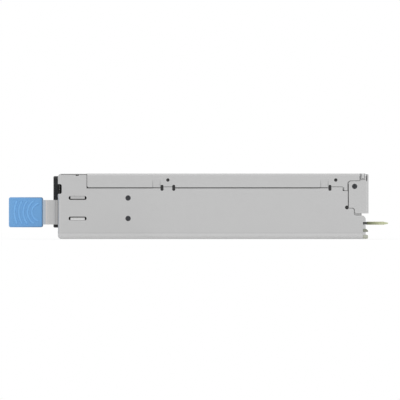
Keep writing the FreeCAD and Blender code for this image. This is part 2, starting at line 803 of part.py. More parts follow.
def tray():
    parts = [tray_shell()]
    for lap in (wall_lap(), end_lap()):
        parts += both_sides(lap)
    for x in lock_points():
        high = SEAM_Z + LOCK_TAB_RISE - SEAM
        tab = box(x - LOCK_TAB / 2, tab_end(x), -HALF, -INNER, WALL_TOP - SHEET, high)
        parts += both_sides(tab)
    body = fuse(parts)
    tools = face_openings() + fan_wall_notches() + guide_notches() + [hook_window()]
    for x in lock_points():
        tools += lock_notches(x, -HALF - 1, -LAP_IN + 1)
        tools += lock_notches(x, LAP_IN - 1, HALF + 1)
        tools.append(lock_hole(x, -HALF - 1, HALF + 1))
    slit_x = FOOT_X - COVER_FOOT_SLIT
    foot = box(slit_x, STEP, -HALF, HALF, SEAM_Z - COVER_FOOT - SEAM, SEAM_Z + LOCK_TAB_RISE)
    inside = box(slit_x, STEP, -LAP_OUT, LAP_OUT, 0, CASE_HEIGHT)
    tools.append(foot.cut(inside))
    seam_top = CASE_HEIGHT - COVER_END_LAND - BEND
    for y in (-HALF, LAP_IN):
        tools.append(rod(RELIEF_R, (STEP - RELIEF_R / 2, y, STEP_Z + RELIEF_R / 2), Y, HALF - LAP_IN))
        tools.append(box(STEP, STEP + CAP_SEAM, y, y + HALF - LAP_IN, STEP_Z + RELIEF_R / 2, seam_top))
    tools.append(rod(SCREW_R, (END_X - CAP_SCREW_X, -HALF, CASE_HEIGHT - CAP_SCREW_DROP), Y, CASE_WIDTH))
    lances = [lance(LANCE_UPPER_Z, False), lance(LANCE_LOWER_Z, True)]
    body = cut(body, tools + [slot for slot, strip in lances])
    roots = (LANCE_UPPER_Z + LANCE_HEIGHT / 2, LANCE_LOWER_Z - LANCE_HEIGHT / 2)
    return cut(fuse([body] + [strip for slot, strip in lances]), [lance_score(z) for z in roots])


# ---------------------------------------------------------------- cover
def cover():
    """Folded lid: top plate, two flanges that lie over the tray's laps, and end tongues."""
    start = FRONT_X + SEAM
    blank = box(start, COVER_END, -HALF, HALF, SEAM_Z - COVER_FOOT, CASE_HEIGHT)
    hollow = box(start, COVER_END, -INNER, INNER, 0, CASE_HEIGHT - SHEET)

    def long_top(edge):
        bounds = edge.BoundBox
        return bounds.XLength > 1 and bounds.ZMin > CASE_HEIGHT - BEND

    body = filleted(blank, COVER_BEND, long_top).cut(filleted(hollow, COVER_BEND - SHEET, long_top))
    below = [(start - 1, SEAM_Z), (FOOT_X, SEAM_Z), (FOOT_X, 0), (start - 1, 0)]
    front_corner = box(start, start + COVER_BEND, -HALF, HALF, SEAM_Z, SEAM_Z + COVER_BEND)
    rounding = rod(COVER_BEND, (start + COVER_BEND, -HALF, SEAM_Z + COVER_BEND), Y, CASE_WIDTH)
    front_corner = front_corner.cut(rounding)
    end_low = CASE_HEIGHT - COVER_END_LAND
    end_x = STEP - SEAM
    over_cap = [(end_x, 0), (end_x, end_low, BEND), (COVER_END + 1, end_low), (COVER_END + 1, 0)]
    tools = [slab(below, "XZ", -HALF, HALF), front_corner, slab(over_cap, "XZ", -HALF, HALF)]
    for x in lock_points():
        tools += lock_notches(x, -HALF - 1, HALF + 1)
        tools.append(box(x - LOCK_TAB / 2, tab_end(x), -HALF, HALF, 0, SEAM_Z + LOCK_TAB_RISE))
        tools.append(lock_hole(x, -HALF - 1, HALF + 1))
        tools += both_sides(lock_press(x))
    body = cut(body, tools)
    return fuse([body, cover_tongues()])


def lock_press(x):
    """Wedge taken off the flange where it is pressed inward beside a lock tab."""
    x1 = x - LOCK_TAB / 2 - LOCK_NOTCH
    x0 = x1 - LOCK_PRESS_LENGTH
    high = SEAM_Z + LOCK_HOLE_DROP + LOCK_HOLE_R
    wedge = [(-HALF, SEAM_Z), (-HALF + LOCK_PRESS_DEPTH, SEAM_Z), (-HALF, high)]
    return slab(wedge, "YZ", x0, x1)


def cover_tongues():
    """Top plate's end strip with a short tongue bent down at each side."""
    x1 = END_X - CAP_NOTCH_X + TONGUE / 2
    edge = END_X - COVER_TOP_END
    plate = box(COVER_END, edge, COVER_BEND - HALF, HALF - COVER_BEND, CASE_HEIGHT - SHEET, CASE_HEIGHT)
    bend_start = (x1 - TONGUE, COVER_BEND - HALF, CASE_HEIGHT - COVER_BEND)
    bend = ring(COVER_BEND, COVER_BEND - SHEET, bend_start, X, TONGUE)
    corner = box(x1 - TONGUE, x1, -HALF, -HALF + COVER_BEND, CASE_HEIGHT - COVER_BEND, CASE_HEIGHT)
    drop = box(x1 - TONGUE, x1, -HALF, -INNER, CASE_HEIGHT - TONGUE_LENGTH, CASE_HEIGHT - COVER_BEND)
    return fuse([plate] + both_sides(bend.common(corner)) + both_sides(drop))


# ---------------------------------------------------------------- end cap
def end_cap():
    """Folded bracket that closes the upper part of the connector end: a vented plate and two side flanges."""
    start = STEP + CAP_SEAM
    blank = box(start, END_X, -HALF, HALF, 0, CAP_TOP)
    hollow = box(STEP, END_X - SHEET, -INNER, INNER, -1, CASE_HEIGHT)

    def upright(edge):
        return edge.BoundBox.ZLength > 1 and edge.BoundBox.XMin > END_X - SHEET * 2

    body = filleted(blank, BEND, upright).cut(filleted(hollow, BEND - SHEET, upright))

    def outer_top(edge):
        return edge.BoundBox.XMin > END_X - HAIR and edge.BoundBox.ZMin > CAP_TOP - HAIR

    body = filleted(body, SHEET / 2, outer_top)
    shelf = STEP + END_SHELF + CAP_SEAM
    low_edge = [
        (STEP, -1), (STEP, STEP_Z + SEAM), (shelf, STEP_Z + SEAM, END_CURVE), (shelf, CAP_LOW, END_CURVE),
        (END_X + 1, CAP_LOW), (END_X + 1, -1),
    ]
    end_low = CASE_HEIGHT - COVER_END_LAND - SEAM
    under_cover = box(STEP, COVER_END + SEAM, -HALF, HALF, end_low, CASE_HEIGHT)
    corner = BEND - SEAM
    rounding = box(start, start + corner, -HALF, HALF, end_low - corner, end_low)
    rounding = rounding.cut(rod(corner, (start + corner, -HALF, end_low - corner), Y, CASE_WIDTH))
    middle = END_X - CAP_NOTCH_X
    floor = CASE_HEIGHT - CAP_NOTCH_LOW
    half = CAP_NOTCH / 2
    opening = rectangle(middle - half, middle + half, floor, CASE_HEIGHT + 1, SMALL_ROUND)
    notch = slab(opening, "XZ", -HALF, HALF)
    slot = box(END_X - SHEET - CAP_SLOT, END_X - SHEET, -HALF, HALF, CASE_HEIGHT - CAP_SLOT_LOW, CASE_HEIGHT)
    tools = [slab(low_edge, "XZ", -HALF, HALF), under_cover, rounding, notch, slot]
    tools += [cap_screw_hole(y) for y in (-HALF, HALF)]
    return cut(body, tools + vents()).removeSplitter()


def cap_screw_hole(y):
    x = END_X - CAP_SCREW_X
    z = CASE_HEIGHT - CAP_SCREW_DROP
    inward = Y if y < 0 else Y * -1
    return Part.makeCone(WALL_SCREW_HEAD_R, SCREW_R, SCREW_HEAD, FreeCAD.Vector(x, y, z), inward).fuse(
        rod(SCREW_R, (x, y, z), inward, SHEET * 2))


def vents():
    row = (VENT_ACROSS + VENT_WEB) * math.sqrt(3) / 2
    middle = (CAP_LOW + CAP_TOP - BEND) / 2
    top = middle + row * (VENT_ROWS / 2)
    side = HALF - BEND - VENT_ACROSS

    def in_rows(y, z):
        return abs(y) < side and middle - row * VENT_ROWS / 2 < z < top

    return hexagon_holes(END_X - SHEET * 2, SHEET * 3, 0, middle + row / 2, VENT_ACROSS, VENT_WEB, in_rows)


# ---------------------------------------------------------------- handle
def strap_path():
    """One half of the strap's inner face, from foot to bow, as (x, y) from its middle line."""
    half = STRAP_SPAN / 2 - STRAP
    bow = FACE_X - HANDLE_REACH + STRAP
    return [
        (FACE_X, half + STRAP + STRAP_FOOT),
        (FACE_X, half),
        (FACE_X - STRAP_JOGGLE_X + STRAP_RAMP, half),
        (FACE_X - STRAP_JOGGLE_X, half - STRAP_JOGGLE),
        (bow, half - STRAP_JOGGLE),
    ]


def handle_strap():
    """Strip of steel bent to a U, with feet that turn outward on the face."""
    upper = [(x, FAN_Y + y) for x, y in strap_path()]
    lower = [(x, FAN_Y - y) for x, y in strap_path()]
    outer = bent_strip(lower + upper[::-1], STRAP, STRAP_BEND)
    z0 = HANDLE_Z - STRAP_HEIGHT / 2
    strap = slab(outer, "XY", z0, z0 + STRAP_HEIGHT)
    return cut(strap, [rivet_hole(y, z) for y, z in rivet_places()])


def rivet_hole(y, z):
    """Hole through the strap's foot, with the cone that the flat head fills."""
    front = FACE_X - STRAP
    cone = Part.makeCone(RIVET_HEAD_R, RIVET_R, RIVET_HEAD, FreeCAD.Vector(front, y, z), X)
    return cone.fuse(rod(RIVET_R, (front, y, z), X, STRAP))


def rivet_places():
    reach = STRAP_SPAN / 2 + STRAP_BEND + RIVET_HEAD_R + FIT / 2
    return [(FAN_Y + side * reach, HANDLE_Z + up * RIVET_PITCH / 2) for side in (-1, 1) for up in (-1, 1)]


def handle_rivets():
    rivets = []
    for y, z in rivet_places():
        front = FACE_X - STRAP
        shank = rod(RIVET_R, (front, y, z), X, STRAP + SHEET)
        head = Part.makeCone(RIVET_HEAD_R, RIVET_R, RIVET_HEAD, FreeCAD.Vector(front, y, z), X)
        tail = rod(RIVET_HEAD_R - 2 * FIT, (PLATE_X, y, z), X, RIVET_TAIL)
        rivets.append(fuse([shank, head, tail]))
    return rivets


def handle_grip():
    """Moulded sleeve round the strap's bow, with arched ridges on both cheeks."""
    half_out = STRAP_SPAN / 2 - STRAP_JOGGLE + GRIP_WALL
    half_in = STRAP_SPAN / 2 - STRAP_JOGGLE - STRAP - GRIP_WALL
    x0 = FACE_X - HANDLE_REACH - GRIP_WALL
    x1 = x0 + GRIP_LENGTH
    bow = x0 + STRAP + 2 * GRIP_WALL
    corners = [
        (x0, FAN_Y - half_out, GRIP_CORNER), (x1, FAN_Y - half_out), (x1, FAN_Y - half_in),
        (bow, FAN_Y - half_in, GRIP_CORNER / 2), (bow, FAN_Y + half_in, GRIP_CORNER / 2),
        (x1, FAN_Y + half_in), (x1, FAN_Y + half_out), (x0, FAN_Y + half_out, GRIP_CORNER),
    ]
    z0 = HANDLE_Z - GRIP_HEIGHT / 2
    z1 = z0 + GRIP_HEIGHT
    body = slab(corners, "XY", z0, z1)

    def outer_rim(edge):
        bounds = edge.BoundBox
        flat = bounds.ZLength < TINY
        outside = abs(bounds.YMin - FAN_Y) > half_in + 1 or abs(bounds.YMax - FAN_Y) > half_in + 1
        return flat and outside and bounds.XMin < x1 - HAIR

    body = filleted(body, GRIP_EDGE, outer_rim)
    ridges = []
    for y in (FAN_Y - half_out - RIDGE_HEIGHT, FAN_Y + half_out):
        ridges += grip_ridges(x0, x1, z0, z1, y, RIDGE_HEIGHT)
    return fuse([body] + ridges).cut(handle_strap())


def grip_ridges(x0, x1, z0, z1, y, height):
    """Nested arched ridges, bulging away from the case."""
    field = slab(rectangle(x0 + GRIP_CORNER - GRIP_EDGE, x1, z0 + 2 * GRIP_EDGE, z1 - 2 * GRIP_EDGE), "XZ",
                 y - height, y + 2 * height)
    bands = []
    for i in range(RIDGE_COUNT):
        radius = RIDGE_FIRST_R + i * RIDGE_PITCH
        centre = (x1 - GRIP_EDGE, y - height / 2, HANDLE_Z)
        band = ring(radius, radius - RIDGE_WIDTH, centre, Y, 2 * height)
        left = box(x0, x1 - 2 * GRIP_EDGE, y - height, y + 2 * height, z0, z1)
        bands += band.common(field).common(left).Solids
    return bands


# ---------------------------------------------------------------- inlet
def inlet_outline(width, height, corner):
    y0 = INLET_Y - width / 2
    z0 = INLET_Z - height / 2
    return rectangle(y0, y0 + width, z0, z0 + height, corner)


def inlet_housing():
    """Appliance inlet, upright: flange, body with catches, and a socket with two bevelled corners."""
    front = FACE_X - FLANGE_THICK
    flange = slab(inlet_outline(FLANGE_WIDTH, FLANGE_HEIGHT, FLANGE_CORNER), "YZ", front, FACE_X)
    flange = filleted(flange, FLANGE_THICK / 4, lambda e: e.BoundBox.XMax < front + TINY)
    body_outline = inlet_outline(INLET_BODY_WIDTH, INLET_BODY_HEIGHT, 0)
    body = slab(body_outline, "YZ", FACE_X - FLANGE_THICK / 2, FACE_X + INLET_DEPTH)
    y0 = INLET_Y - SOCKET_WIDTH / 2
    y1 = INLET_Y + SOCKET_WIDTH / 2
    z0 = INLET_Z - SOCKET_HEIGHT / 2
    z1 = INLET_Z + SOCKET_HEIGHT / 2
    bevel = SOCKET_CHAMFER
    mouth = [(y0, z0), (y1 - bevel, z0), (y1, z0 + bevel), (y1, z1 - bevel), (y1 - bevel, z1), (y0, z1)]
    socket = slab(mouth, "YZ", front - 1, front + SOCKET_DEPTH)
    catches = []
    for side in (-1, 1):
        base = INLET_Z + side * (INLET_BODY_HEIGHT / 2 - CATCH / 2)
        tip = INLET_Z + side * (INLET_BODY_HEIGHT / 2 + CATCH)
        wedge = [(PLATE_X + FIT / 2, base), (PLATE_X + FIT / 2, tip), (PLATE_X + INLET_DEPTH / 4, base)]
        reach = INLET_BODY_WIDTH / 4
        catches.append(slab(wedge, "XZ", INLET_Y - reach, INLET_Y + reach))
    whole = fuse([flange, body] + catches)
    return cut(whole, [socket] + [pin_blade(y, z) for y, z in pin_places()])


def pin_places():
    return [
        (INLET_Y - LIVE_SHIFT, INLET_Z - PIN_PITCH),
        (INLET_Y + EARTH_SHIFT, INLET_Z),
        (INLET_Y - LIVE_SHIFT, INLET_Z + PIN_PITCH),
    ]


def pin_blade(y, z):
    tip = FACE_X - FLANGE_THICK + SOCKET_DEPTH - PIN_LENGTH
    tail = FACE_X + INLET_DEPTH + PIN_TAIL
    nose = PIN_THICK / 3
    side = [(tip, -PIN_THICK / 2 + nose), (tip + nose, -PIN_THICK / 2), (tail, -PIN_THICK / 2),
            (tail, PIN_THICK / 2), (tip + nose, PIN_THICK / 2), (tip, PIN_THICK / 2 - nose)]
    return slab([(u, v + z) for u, v in side], "XZ", y - PIN_WIDTH / 2, y + PIN_WIDTH / 2)


def inlet_pins():
    return [pin_blade(y, z) for y, z in pin_places()]


# ---------------------------------------------------------------- fan
def fan_frame():
    """Square flanges joined by a round duct, four struts and the motor's base with its bearing tube."""
    half = FAN_SIZE / 2
    square = rectangle(FAN_Y - half, FAN_Y + half, FAN_Z - half, FAN_Z + half, FAN_CORNER)
    axis = (FAN_X, FAN_Y, FAN_Z)
    front = slab(square, "YZ", FAN_X, FAN_X + FAN_FLANGE)
    back = slab(square, "YZ", FAN_BACK - FAN_FLANGE, FAN_BACK)
    duct = rod(half, axis, X, FAN_DEPTH)
    corner = half - FAN_CORNER - FAN_HOLE_R / 2
    holes = [rod(FAN_HOLE_R, (FAN_X, FAN_Y + a * corner, FAN_Z + b * corner), X, FAN_DEPTH)
             for a in (-1, 1) for b in (-1, 1)]
    body = cut(fuse([front, back, duct]), [rod(BORE_R, axis, X, FAN_DEPTH)] + holes)
    base_x = FAN_BACK - FAN_BASE
    base = rod(HUB_R, (base_x, FAN_Y, FAN_Z), X, FAN_BASE)
    struts = []
    for i in range(STRUT_COUNT):
        strut = box(base_x, FAN_BACK, FAN_Y + HUB_R / 2, FAN_Y + BORE_R + FAN_WALL / 2,
                    FAN_Z - STRUT_WIDTH / 2, FAN_Z + STRUT_WIDTH / 2)
        struts.append(turned(strut, X, 45 + i * 360 / STRUT_COUNT, axis))
    tube_start = (bearing_tube_front(), FAN_Y, FAN_Z)
    tube = rod(BEARING_R + TUBE_WALL, tube_start, X, base_x - tube_start[0])
    cap_wall = FAN_BASE / 3
    hollow = rod(BEARING_R, tube_start, X, FAN_BACK - cap_wall - tube_start[0])
    return fuse([body, base, tube] + struts).cut(hollow)


def hub_back():
    return FAN_X + HUB_FRONT + HUB_LENGTH


def boss_end():
    return FAN_X + HUB_FRONT + 4 * HUB_WALL


def bearing_tube_front():
    return boss_end() + TUBE_GAP


def rear_bearing_x():
    return FAN_BACK - FAN_BASE - BEARING_WIDTH / 2


def blade_section(radius, angle, depth):
    """Closed cambered section, standing at this radius; the chord leans by angle from the axis."""
    lean = math.radians(angle)
    half_chord = depth / 2 / math.cos(lean)
    along = FreeCAD.Vector(math.cos(lean), 0, math.sin(lean))
    normal = FreeCAD.Vector(-math.sin(lean), 0, math.cos(lean))
    centre = FreeCAD.Vector(FAN_X + HUB_FRONT + HUB_LENGTH / 2, FAN_Y + radius, FAN_Z)
    start = centre - along * half_chord
    end = centre + along * half_chord
    rise = half_chord * 2 * BLADE_CAMBER
    upper = Part.Arc(start, centre + normal * (rise + BLADE_THICK / 2), end).toShape()
    lower = Part.Arc(end, centre + normal * (rise - BLADE_THICK / 2), start).toShape()
    return Part.Wire([upper, lower])


def fan_rotor():
    """Cup-shaped hub with twisted blades that sweep the bore."""
    axis = (FAN_X, FAN_Y, FAN_Z)
    front = FAN_X + HUB_FRONT
    hub = rod(HUB_R, (front, FAN_Y, FAN_Z), X, HUB_LENGTH)
    hub = filleted(hub, HUB_WALL, lambda e: e.BoundBox.XMax < front + TINY)
    cup = rod(HUB_R - HUB_WALL, (front + HUB_WALL, FAN_Y, FAN_Z), X, HUB_LENGTH)
    boss = rod(BEARING_R, (front, FAN_Y, FAN_Z), X, boss_end() - front)
    tip_r = BORE_R - FAN_TIP_GAP
    middle_r = (HUB_R + tip_r) / 2
    middle_angle = (BLADE_ROOT_ANGLE + BLADE_TIP_ANGLE) / 2
    sections = [
        blade_section(HUB_R - HUB_WALL, BLADE_ROOT_ANGLE, BLADE_ROOT_DEPTH),
        blade_section(middle_r, middle_angle, (BLADE_ROOT_DEPTH + BLADE_TIP_DEPTH) / 2),
        blade_section(tip_r + FAN_TIP_GAP, BLADE_TIP_ANGLE, BLADE_TIP_DEPTH),
    ]
    blade = Part.makeLoft(sections, True, False)
    sweep = ring(tip_r, HUB_R - HUB_WALL / 2, axis, X, FAN_DEPTH)
    blade = blade.common(sweep)
    blades = [turned(blade, X, i * 360 / BLADE_COUNT, axis) for i in range(BLADE_COUNT)]
    body = fuse([fuse([hub.cut(cup), boss])] + blades)
    return body.cut(rod(SHAFT_R, (front + HUB_WALL, FAN_Y, FAN_Z), X, FAN_DEPTH))


def fan_shaft():
    start = FAN_X + HUB_FRONT + HUB_WALL
    return rod(SHAFT_R, (start, FAN_Y, FAN_Z), X, rear_bearing_x() + BEARING_WIDTH - start)


def fan_magnet():
    return ring(HUB_R - HUB_WALL, HUB_R - HUB_WALL - MAGNET_THICK,
                (hub_back() - MAGNET_LENGTH - HUB_WALL, FAN_Y, FAN_Z), X, MAGNET_LENGTH)


def fan_bearings():
    """Two ball bearings as plain races, one near each end of the tube."""
    places = [bearing_tube_front() + TUBE_GAP / 2, rear_bearing_x()]
    return [ring(BEARING_R, SHAFT_R + SHAFT_GAP, (x, FAN_Y, FAN_Z), X, BEARING_WIDTH) for x in places]


def stator_x():
    return hub_back() - HUB_WALL - MAGNET_LENGTH / 2 - STATOR_LENGTH / 2


def pole_radius():
    return HUB_R - HUB_WALL - MAGNET_THICK - AIR_GAP


def fan_stator():
    """Laminated core: a ring on the bearing tube with T-shaped poles."""
    start = (stator_x(), FAN_Y, FAN_Z)
    tube_r = BEARING_R + TUBE_WALL
    core = [ring(tube_r + LAMINATION, tube_r, start, X, STATOR_LENGTH)]
    shoe = ring(pole_radius(), pole_radius() - LAMINATION, start, X, STATOR_LENGTH)
    x0 = stator_x()
    x1 = x0 + STATOR_LENGTH
    low = FAN_Y + tube_r + LAMINATION_LAP
    high = FAN_Y + pole_radius() - LAMINATION_LAP
    half = POLE_WIDTH / 2
    for i in range(STATOR_POLES):
        neck = box(x0, x1, low, high, FAN_Z - half, FAN_Z + half)
        face = shoe.common(box(x0, x1, FAN_Y, FAN_Y + HUB_R, FAN_Z - SHOE_HALF, FAN_Z + SHOE_HALF))
        core += [turned(piece, X, i * 360 / STATOR_POLES, start) for piece in (neck, face)]
    return fuse(core)


def fan_coils():
    """Copper wound round the neck of each pole."""
    start = (stator_x(), FAN_Y, FAN_Z)
    tube_r = BEARING_R + TUBE_WALL
    low = FAN_Y + tube_r + LAMINATION + COIL_GAP
    high = FAN_Y + pole_radius() - LAMINATION - COIL_END
    half = POLE_WIDTH / 2
    x0 = stator_x()
    x1 = x0 + STATOR_LENGTH
    coils = []
    for i in range(STATOR_POLES):
        outer = box(x0 - COIL, x1 + COIL, low, high, FAN_Z - half - COIL, FAN_Z + half + COIL)
        core = box(x0, x1, low, high, FAN_Z - half, FAN_Z + half)
        coils.append(turned(outer.cut(core), X, i * 360 / STATOR_POLES, start))
    return coils


def fan_board():
    start = (FAN_BACK - FAN_BASE - FAN_BOARD, FAN_Y, FAN_Z)
    return ring(HUB_R - HUB_WALL, BEARING_R + TUBE_WALL, start, X, FAN_BOARD)


def fan_bracket():
    """Angle screwed to the wall behind the fan, so that the fan can't slide back."""
    low = BOARD_TOP + FIT
    x1 = FACE_X + WALL_SCREW_X + WALL_SCREW_HEAD_R * 3
    path = [(x1, -INNER), (FAN_BACK + FIT / 2, -INNER), (FAN_BACK + FIT / 2, -INNER + BRACKET_LIP)]
    angle = slab(bent_strip(path[::-1], SHEET, SHEET), "XY", low, WALL_TOP - 2 * SHEET)
    holes = [rod(SCREW_R, (x, -HALF, z), Y, CASE_WIDTH / 2) for x, z in wall_screw_places()]
    return cut(angle, holes)


def flat_screw(x, y, z, inward):
    """Flat head in its cone, with the shank through both sheets."""
    base = FreeCAD.Vector(x, y, z)
    head = Part.makeCone(WALL_SCREW_HEAD_R, SCREW_R, SCREW_HEAD, base, inward)
    drive = ring(DRIVE_R * 2, DRIVE_R, (x, y, z), inward, SCREW_HEAD)
    recess = rod(DRIVE_R, (x, y, z), inward, SCREW_HEAD * 2 / 3)
    shank = rod(SCREW_R, (x, y, z), inward, SCREW_LENGTH)
    return fuse([head.fuse(drive.common(head)), shank]).cut(recess)


def wall_screws():
    return [flat_screw(x, -HALF, z, Y) for x, z in wall_screw_places()]


def end_cap_screws():
    x = END_X - CAP_SCREW_X
    z = CASE_HEIGHT - CAP_SCREW_DROP
    return [flat_screw(x, -HALF, z, Y), flat_screw(x, HALF, z, Y * -1)]


# ---------------------------------------------------------------- status light
def light_pipe():
    """Clear rod with a domed end that stands a little out of the face."""
    start = (FACE_X + FIT, LIGHT_Y, LIGHT_Z)
    dome = Part.makeSphere(2 * LIGHT_R, FreeCAD.Vector(FACE_X - LIGHT_STAND + 2 * LIGHT_R, LIGHT_Y, LIGHT_Z))
    shank = rod(LIGHT_R, start, X, LIGHT_LENGTH)
    nose = dome.common(rod(LIGHT_R, (FACE_X - LIGHT_R, LIGHT_Y, LIGHT_Z), X, LIGHT_R * 2))
    collar = ring(LIGHT_COLLAR_R, LIGHT_R, (PLATE_X, LIGHT_Y, LIGHT_Z), X, LIGHT_R)
    return fuse([shank, nose, collar])


# ---------------------------------------------------------------- release latch
def latch_lever():
    """Steel arm with a rolled eye, a hook that reaches through the wall and a tail for the tab."""
    pivot = (PIVOT_X, LATCH_PIVOT_Y, LATCH_LOW)
    eye = rod(LATCH_HUB_R, pivot, Z, LATCH_HEIGHT)
    tail_x = FACE_X - TAB_REACH + TAB_THICK
    arm = box(tail_x, PIVOT_X, LATCH_ARM_Y, LATCH_ARM_Y + LATCH_ARM, LATCH_LOW, LATCH_TOP)
    hook_y = LATCH_ARM_Y + LATCH_ARM
    tip_y = HALF + HOOK_REACH
    x0 = FACE_X + HOOK_X
    x1 = x0 + HOOK_LENGTH
    root_y = hook_y - LATCH_ARM / 2
    side = [(x0, root_y), (x1, root_y), (x1, hook_y),
            (x0 + HOOK_TIP, tip_y, HOOK_ROUND), (x0, tip_y, HOOK_ROUND)]
    hook = slab(side, "XY", LATCH_Z - HOOK_HEIGHT / 2, LATCH_Z + HOOK_HEIGHT / 2)
    bore = rod(LATCH_PIN_R + LATCH_PIN_GAP, pivot, Z, LATCH_HEIGHT)
    return fuse([eye, arm, hook]).cut(bore)


def latch_tab():
    """Thumb piece moulded over the lever's tail, with cross ribs."""
    x0 = FACE_X - TAB_REACH
    x1 = FACE_X - TAB_START
    middle = LATCH_ARM_Y + LATCH_ARM / 2
    y0 = middle - TAB_THICK / 2
    y1 = middle + TAB_THICK / 2
    z0 = LATCH_Z - TAB_HEIGHT / 2
    z1 = LATCH_Z + TAB_HEIGHT / 2
    body = slab(rectangle(x0, x1, z0, z1, TAB_CORNER), "XZ", y0, y1)
    body = filleted(body, TAB_EDGE, lambda e: e.BoundBox.YLength < TINY and e.BoundBox.XMax < x1 - TINY)
    ribs = []
    for i in range(TAB_RIBS):
        x = x0 + TAB_RIB_START + i * TAB_RIB_PITCH
        rib = box(x, x + TAB_RIB_PITCH / 2, y1 - HAIR, y1 + RIDGE_HEIGHT, z0 + TAB_CORNER, z1 - TAB_CORNER)
        ribs.append(rib)
    return fuse([body] + ribs).cut(latch_lever())


def latch_bracket():
    """Bracket on the wall's inside: a back plate and two ears that hold the pin."""
    x0 = PIVOT_X - BRACKET_LENGTH / 2
    x1 = PIVOT_X + BRACKET_LENGTH / 2
    low = LATCH_LOW - EAR_GAP
    high = LATCH_TOP + SPRING_ROOM
    back = box(x0, x1, INNER - SHEET, INNER, low - SHEET, high + SHEET)
    ears = []
    half = EAR_REACH / 2
    inner_y = LATCH_PIVOT_Y - half
    ear = [(x0, INNER), (x0, LATCH_PIVOT_Y), (PIVOT_X - half, inner_y, EAR_ROUND),
           (PIVOT_X + half, inner_y, EAR_ROUND), (x1, LATCH_PIVOT_Y), (x1, INNER)]
    for z in (low - SHEET, high):
        ears.append(slab(ear, "XY", z, z + SHEET))
    hole = rod(LATCH_PIN_R, (PIVOT_X, LATCH_PIVOT_Y, low - 2 * SHEET), Z, LATCH_HEIGHT * 2)
    return fuse([back] + ears).cut(hole)


def latch_pin():
    low = LATCH_LOW - EAR_GAP - SHEET
    high = LATCH_TOP + SPRING_ROOM + SHEET
    shank = rod(LATCH_PIN_R, (PIVOT_X, LATCH_PIVOT_Y, low - PIN_HEAD / 2), Z, high - low + PIN_HEAD / 2)
    head = rod(PIN_HEAD_R, (PIVOT_X, LATCH_PIVOT_Y, high), Z, PIN_HEAD)
    return fuse([shank, filleted(head, PIN_HEAD / 3, lambda e: e.BoundBox.ZMin > high + PIN_HEAD / 2)])


def latch_spring():
    """Close-wound torsion spring round the pin, one leg on the arm and one on the back plate."""
    coil_r = LATCH_PIN_R + SPRING_WIRE
    wire_r = SPRING_WIRE / 2
    start_z = LATCH_TOP + SPRING_WIRE
    heights = [start_z + i * SPRING_PITCH for i in range(SPRING_TURNS)]
    turns = [Part.makeTorus(coil_r, wire_r, FreeCAD.Vector(PIVOT_X, LATCH_PIVOT_Y, z)) for z in heights]
    leg_length = INNER - SHEET - LATCH_PIVOT_Y
    upper = rod(SPRING_LEG_R, (PIVOT_X + coil_r, LATCH_PIVOT_Y, heights[-1]), Y, leg_length)
    lower = rod(SPRING_LEG_R, (PIVOT_X + coil_r, LATCH_PIVOT_Y, start_z), Y * -1, SPRING_LEG)
    return fuse(turns + [upper, lower])


# ---------------------------------------------------------------- main board and card edge
def main_board():
    """Board with a corner left free for the latch, and a tongue that forms the card edge."""
    side = INNER - BOARD_SIDE_GAP
    start = FACE_X + BOARD_START
    stop = END_X - BOARD_END_GAP
    free_x = PIVOT_X + BRACKET_LENGTH
    free_y = LATCH_PIVOT_Y - EAR_REACH
    half = CARD_WIDTH / 2
    plan = [
        (start, -side), (stop, -side), (stop, -half, CARD_ROOT_ROUND), (CARD_END, -half, SMALL_ROUND),
        (CARD_END, half, SMALL_ROUND), (stop, half, CARD_ROOT_ROUND), (stop, side), (free_x, side),
        (free_x, free_y), (start, free_y),
    ]
    board = slab(plan, "XY", BOARD_Z, BOARD_TOP)
    ear_x = TRAY_END - BOARD_EAR
    ear_end = TRAY_END + BOARD_EAR_REACH
    inner = BOARD_EAR_DEPTH - side
    ear = [(stop - BOARD_EAR_DEPTH, inner), (stop - BOARD_EAR_DEPTH, -side), (ear_x, -side),
           (ear_x, HAIR - HALF), (ear_end, HAIR - HALF), (ear_end, inner)]
    board = fuse([board] + both_sides(slab(ear, "XY", BOARD_Z, BOARD_TOP)))
    slope = (BOARD_THICK - CARD_TIP) / 2
    tools = []
    for edge, tip in ((BOARD_Z, BOARD_Z + slope), (BOARD_TOP, BOARD_TOP - slope)):
        bevel = [(CARD_END - CARD_BEVEL, edge), (CARD_END + 1, edge), (CARD_END + 1, tip), (CARD_END, tip)]
        tools.append(slab(bevel, "XZ", -half, half))
    key = rectangle(CARD_END - CARD_KEY_DEPTH, CARD_END + CARD_KEY, CARD_KEY_Y - CARD_KEY / 2,
                    CARD_KEY_Y + CARD_KEY / 2, CARD_KEY / 2 - HAIR)
    tools.append(slab(key, "XY", BOARD_Z, BOARD_TOP))
    tools += [rod(BOARD_SCREW_R, (x, y, BOARD_Z), Z, BOARD_THICK) for x, y in post_places()]
    return cut(board, tools)


def card_contacts():
    """Gold pads on both faces of the tongue: power pads on one side of the key, signal pads on the other."""
    x0 = END_X - PAD_START
    x1 = CARD_END - CARD_BEVEL
    spans = []
    y = CARD_KEY_Y - CARD_KEY / 2 - PAD_GAP
    for i in range(POWER_PADS):
        spans.append((y - POWER_PAD, y))
        y -= POWER_PAD + PAD_GAP
    y = CARD_KEY_Y + CARD_KEY / 2 + PAD_GAP
    for i in range(SIGNAL_PADS):
        spans.append((y, y + SIGNAL_PAD))
        y += SIGNAL_PAD + PAD_GAP
    pads = []
    for low, high in spans:
        for z in (BOARD_Z - PAD_THICK, BOARD_TOP):
            pads.append(box(x0, x1, low, high, z, z + PAD_THICK))
    return pads


def post_places():
    y = INNER - BOARD_SIDE_GAP - POST_INSET
    return [(x, side * y) for x in (FACE_X + POST_FIRST, END_X - POST_LAST) for side in (-1, 1)]


def board_posts():
    return [rod(POST_R, (x, y, SHEET), Z, BOARD_Z - SHEET).cut(rod(BOARD_SCREW_R, (x, y, SHEET), Z, BOARD_Z))
            for x, y in post_places()]


